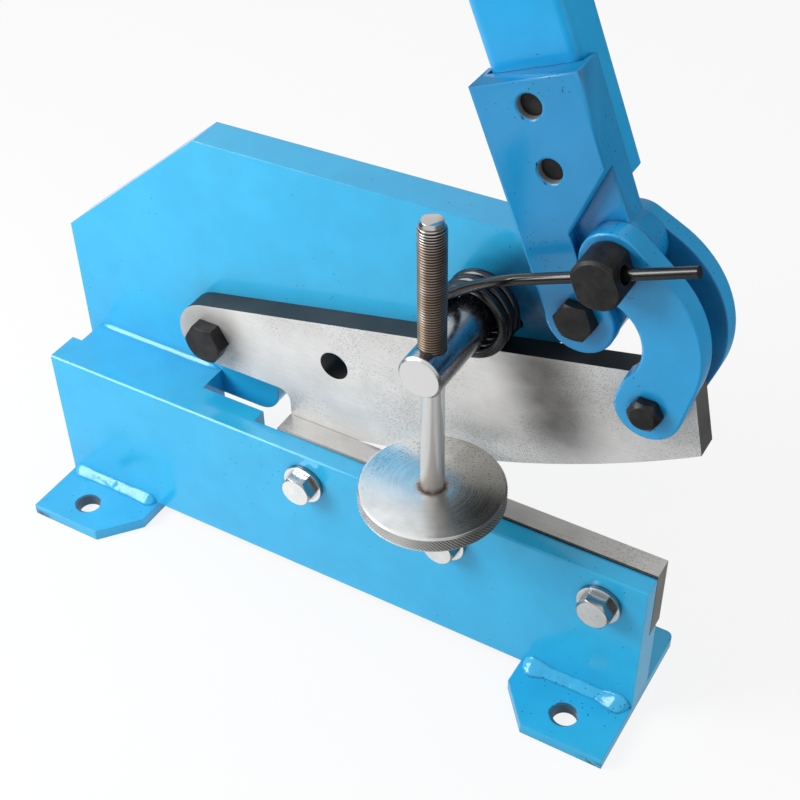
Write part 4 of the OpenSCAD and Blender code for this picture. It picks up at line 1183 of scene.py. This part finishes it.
def bead_line(low, high, y, z):
    """A straight run along the beam, a little shorter than the box that it joins."""
    return [Vector((low.x + BEAD_IN, y, z)), Vector((high.x - BEAD_IN, y, z))]


foot_beads = {}
for foot_name in ("left_foot", "right_foot"):
    foot_low, foot_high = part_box(foot_name)
    foot_beads[foot_name] = [bead_line(foot_low, foot_high, side_y, foot_high.z)
                             for side_y in (BEAM_LOW.y, BEAM_HIGH.y)]
left_beads = foot_beads["left_foot"]
left_beads.append(bead_line(SPACER_LOW, SPACER_HIGH, PLATE_FRONT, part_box("back_plate")[0].z))
left_beads.append(bead_line(SPACER_LOW, SPACER_HIGH, BEAM_HIGH.y, SPACER_LOW.z))
seam_line = bead_line(SPACER_LOW, SPACER_HIGH, PLATE_FRONT, BEAM_HIGH.z)
bead_tree = make_bead_tree()
welds = grown("weld_runs", line_mesh("weld_lines", left_beads), bead_tree,
              {"Radius": 4.8 * MM, "Lump": 1.3 * MM, "Flatness": 1.05, "Ends": 1.1, "Lowest": 0.6 * MM},
              "weld_paint")
right_welds = grown("right_weld_runs", line_mesh("right_weld_lines", foot_beads["right_foot"]), bead_tree,
                    {"Radius": 4.9 * MM, "Lump": 1.9 * MM, "Flatness": 0.8, "Ends": 1.5, "Lowest": 0.6 * MM},
                    "weld_paint")
seam = grown("spacer_seam", line_mesh("seam_line", [seam_line]), bead_tree,
             {"Radius": 2.2 * MM, "Lump": 0.4 * MM, "Flatness": 1.2, "Ends": 0.95, "Lowest": 0.0},
             "weld_paint")
for bead in (welds, right_welds, seam):
    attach(bead, "frame")
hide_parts("weld_beads")


# The photograph's viewpoint, worked out from the edges of beam, feet and blades
CAMERA_PLACE = Vector((0.2914, -0.4216, 0.5636))
CAMERA_AIM = Vector((0.0503, -0.0152, 0.140))
CAMERA_ROLL = math.radians(-0.94)
NEAREST_SEEN = 10 * MM
FRAME_PIXELS = 800
FOCAL_PIXELS = 1455.75
CENTRE_PIXEL = (405.6, 422.0)

# A soft key lamp on the left, and plain fill that is stronger on the right and above
KEY_PLACE = (-0.66, -0.54, 0.64)
KEY_AIM = (0, 0, 0.12)
KEY_SIZE = 0.55
KEY_ENERGY = 9.5
WORLD_LIGHT = 0.19
RIGHT_LIGHT = 0.8
TOP_LIGHT = 0.26
DIM_SIDE = (0.86, 0.51, 0.0)
DIM_SIDE_FADE = (0.1, 0.6)
DIM_SIDE_LIGHT = 0.2
WHITE = rgb(1.0, 1.0, 1.0)
FLOOR_COLOUR = rgb(0.88, 0.88, 0.88)
FLOOR_SIZE = 8
FLOOR_DROP = 0.2 * MM
FLOOR_WHITE = 0.84
FLOOR_FADE = (0.40, 0.85)
RIGHT_FADE = (-0.10, 0.34)
FAR_FLOOR = 0.12


def add_camera():
    """The camera at the photograph's viewing angle."""
    data = bpy.data.cameras.new("camera")
    data.sensor_fit = "HORIZONTAL"
    data.lens = data.sensor_width * FOCAL_PIXELS / FRAME_PIXELS
    data.shift_x = 0.5 - CENTRE_PIXEL[0] / FRAME_PIXELS
    data.shift_y = CENTRE_PIXEL[1] / FRAME_PIXELS - 0.5
    data.clip_start = NEAREST_SEEN
    camera = bpy.data.objects.new("camera", data)
    turn = (CAMERA_AIM - CAMERA_PLACE).to_track_quat("-Z", "Y").to_matrix().to_4x4()
    camera.matrix_world = Matrix.Translation(CAMERA_PLACE) @ turn @ Matrix.Rotation(CAMERA_ROLL, 4, "Z")
    bpy.context.scene.collection.objects.link(camera)
    bpy.context.scene.camera = camera


def seen_by(tree, *kinds):
    """1 for rays of some kinds, and 0 for the rest."""
    rays = node(tree, "ShaderNodeLightPath").outputs
    found = rays[kinds[0]]
    for kind in kinds[1:]:
        found = maths(tree, "MAXIMUM", found, rays[kind])
    return found


def chosen_by(tree, share, first, second):
    """One of two numbers, or a mix of them."""
    return node(tree, "ShaderNodeMapRange", {"Value": share, "To Min": first, "To Max": second}).outputs[0]


def add_floor():
    """A plain floor that keeps the shadows, and is near white to the camera and in reflections."""
    bpy.ops.mesh.primitive_plane_add(size=FLOOR_SIZE, location=(0, 0, -FLOOR_DROP))
    floor = bpy.context.object
    floor.name = "floor"
    material, tree, shader = finish("floor_white")
    connect(tree, shader, Base_Color=FLOOR_COLOUR, Roughness=0.8, Specular_IOR_Level=0.1)
    place = object_place(tree)
    far = ramped(tree, vectors(tree, "LENGTH", place), *FLOOR_FADE, 1.0, FAR_FLOOR)
    right = ramped(tree, parts(tree, place)[0], *RIGHT_FADE, 1.0, FAR_FLOOR)
    mirrored = seen_by(tree, "Is Glossy Ray", "Is Transmission Ray")
    plain = times(tree, seen_by(tree, "Is Camera Ray"), FLOOR_WHITE)
    glow = chosen_by(tree, mirrored, 1.0, maths(tree, "MINIMUM", far, right))
    white = node(tree, "ShaderNodeEmission", {"Color": WHITE, "Strength": glow}).outputs[0]
    shaders = {0: maths(tree, "MAXIMUM", plain, mirrored), 1: shader.outputs[0], 2: white}
    both = node(tree, "ShaderNodeMixShader", shaders).outputs[0]
    fill(tree, tree.nodes["Material Output"].inputs, {"Surface": both})
    floor.data.materials.append(material)


def add_world():
    """Soft surroundings, a little stronger above and on the right, with a dim rear right in reflections."""
    world = bpy.data.worlds.new("studio")
    world.use_nodes = True
    tree = world.node_tree
    direction = node(tree, "ShaderNodeTexCoord").outputs["Generated"]
    across = vectors(tree, "DOT_PRODUCT", direction, DIM_SIDE)
    dimmed = ramped(tree, across, *DIM_SIDE_FADE, 1.0, DIM_SIDE_LIGHT)
    part = parts(tree, direction)
    right = times(tree, maths(tree, "MAXIMUM", part[0], 0.0), RIGHT_LIGHT)
    above = times(tree, maths(tree, "MAXIMUM", part[2], 0.0), TOP_LIGHT)
    light = maths(tree, "ADD", maths(tree, "ADD", right, above), WORLD_LIGHT)
    around = chosen_by(tree, seen_by(tree, "Is Glossy Ray", "Is Transmission Ray"), light, dimmed)
    strength = maths(tree, "MAXIMUM", around, seen_by(tree, "Is Camera Ray"))
    fill(tree, tree.nodes["Background"].inputs, {"Color": WHITE, "Strength": strength})
    bpy.context.scene.world = world


def add_softbox():
    """The key lamp: a square that faces the part."""
    lamp = bpy.data.lights.new("key", "AREA")
    lamp.energy = KEY_ENERGY
    lamp.size = KEY_SIZE
    softbox = bpy.data.objects.new("key", lamp)
    softbox.location = KEY_PLACE
    softbox.rotation_euler = (Vector(KEY_AIM) - softbox.location).to_track_quat("-Z", "Y").to_euler()
    bpy.context.scene.collection.objects.link(softbox)


bpy.context.scene.view_settings.view_transform = "Standard"
add_camera()
add_floor()
add_world()
add_softbox()
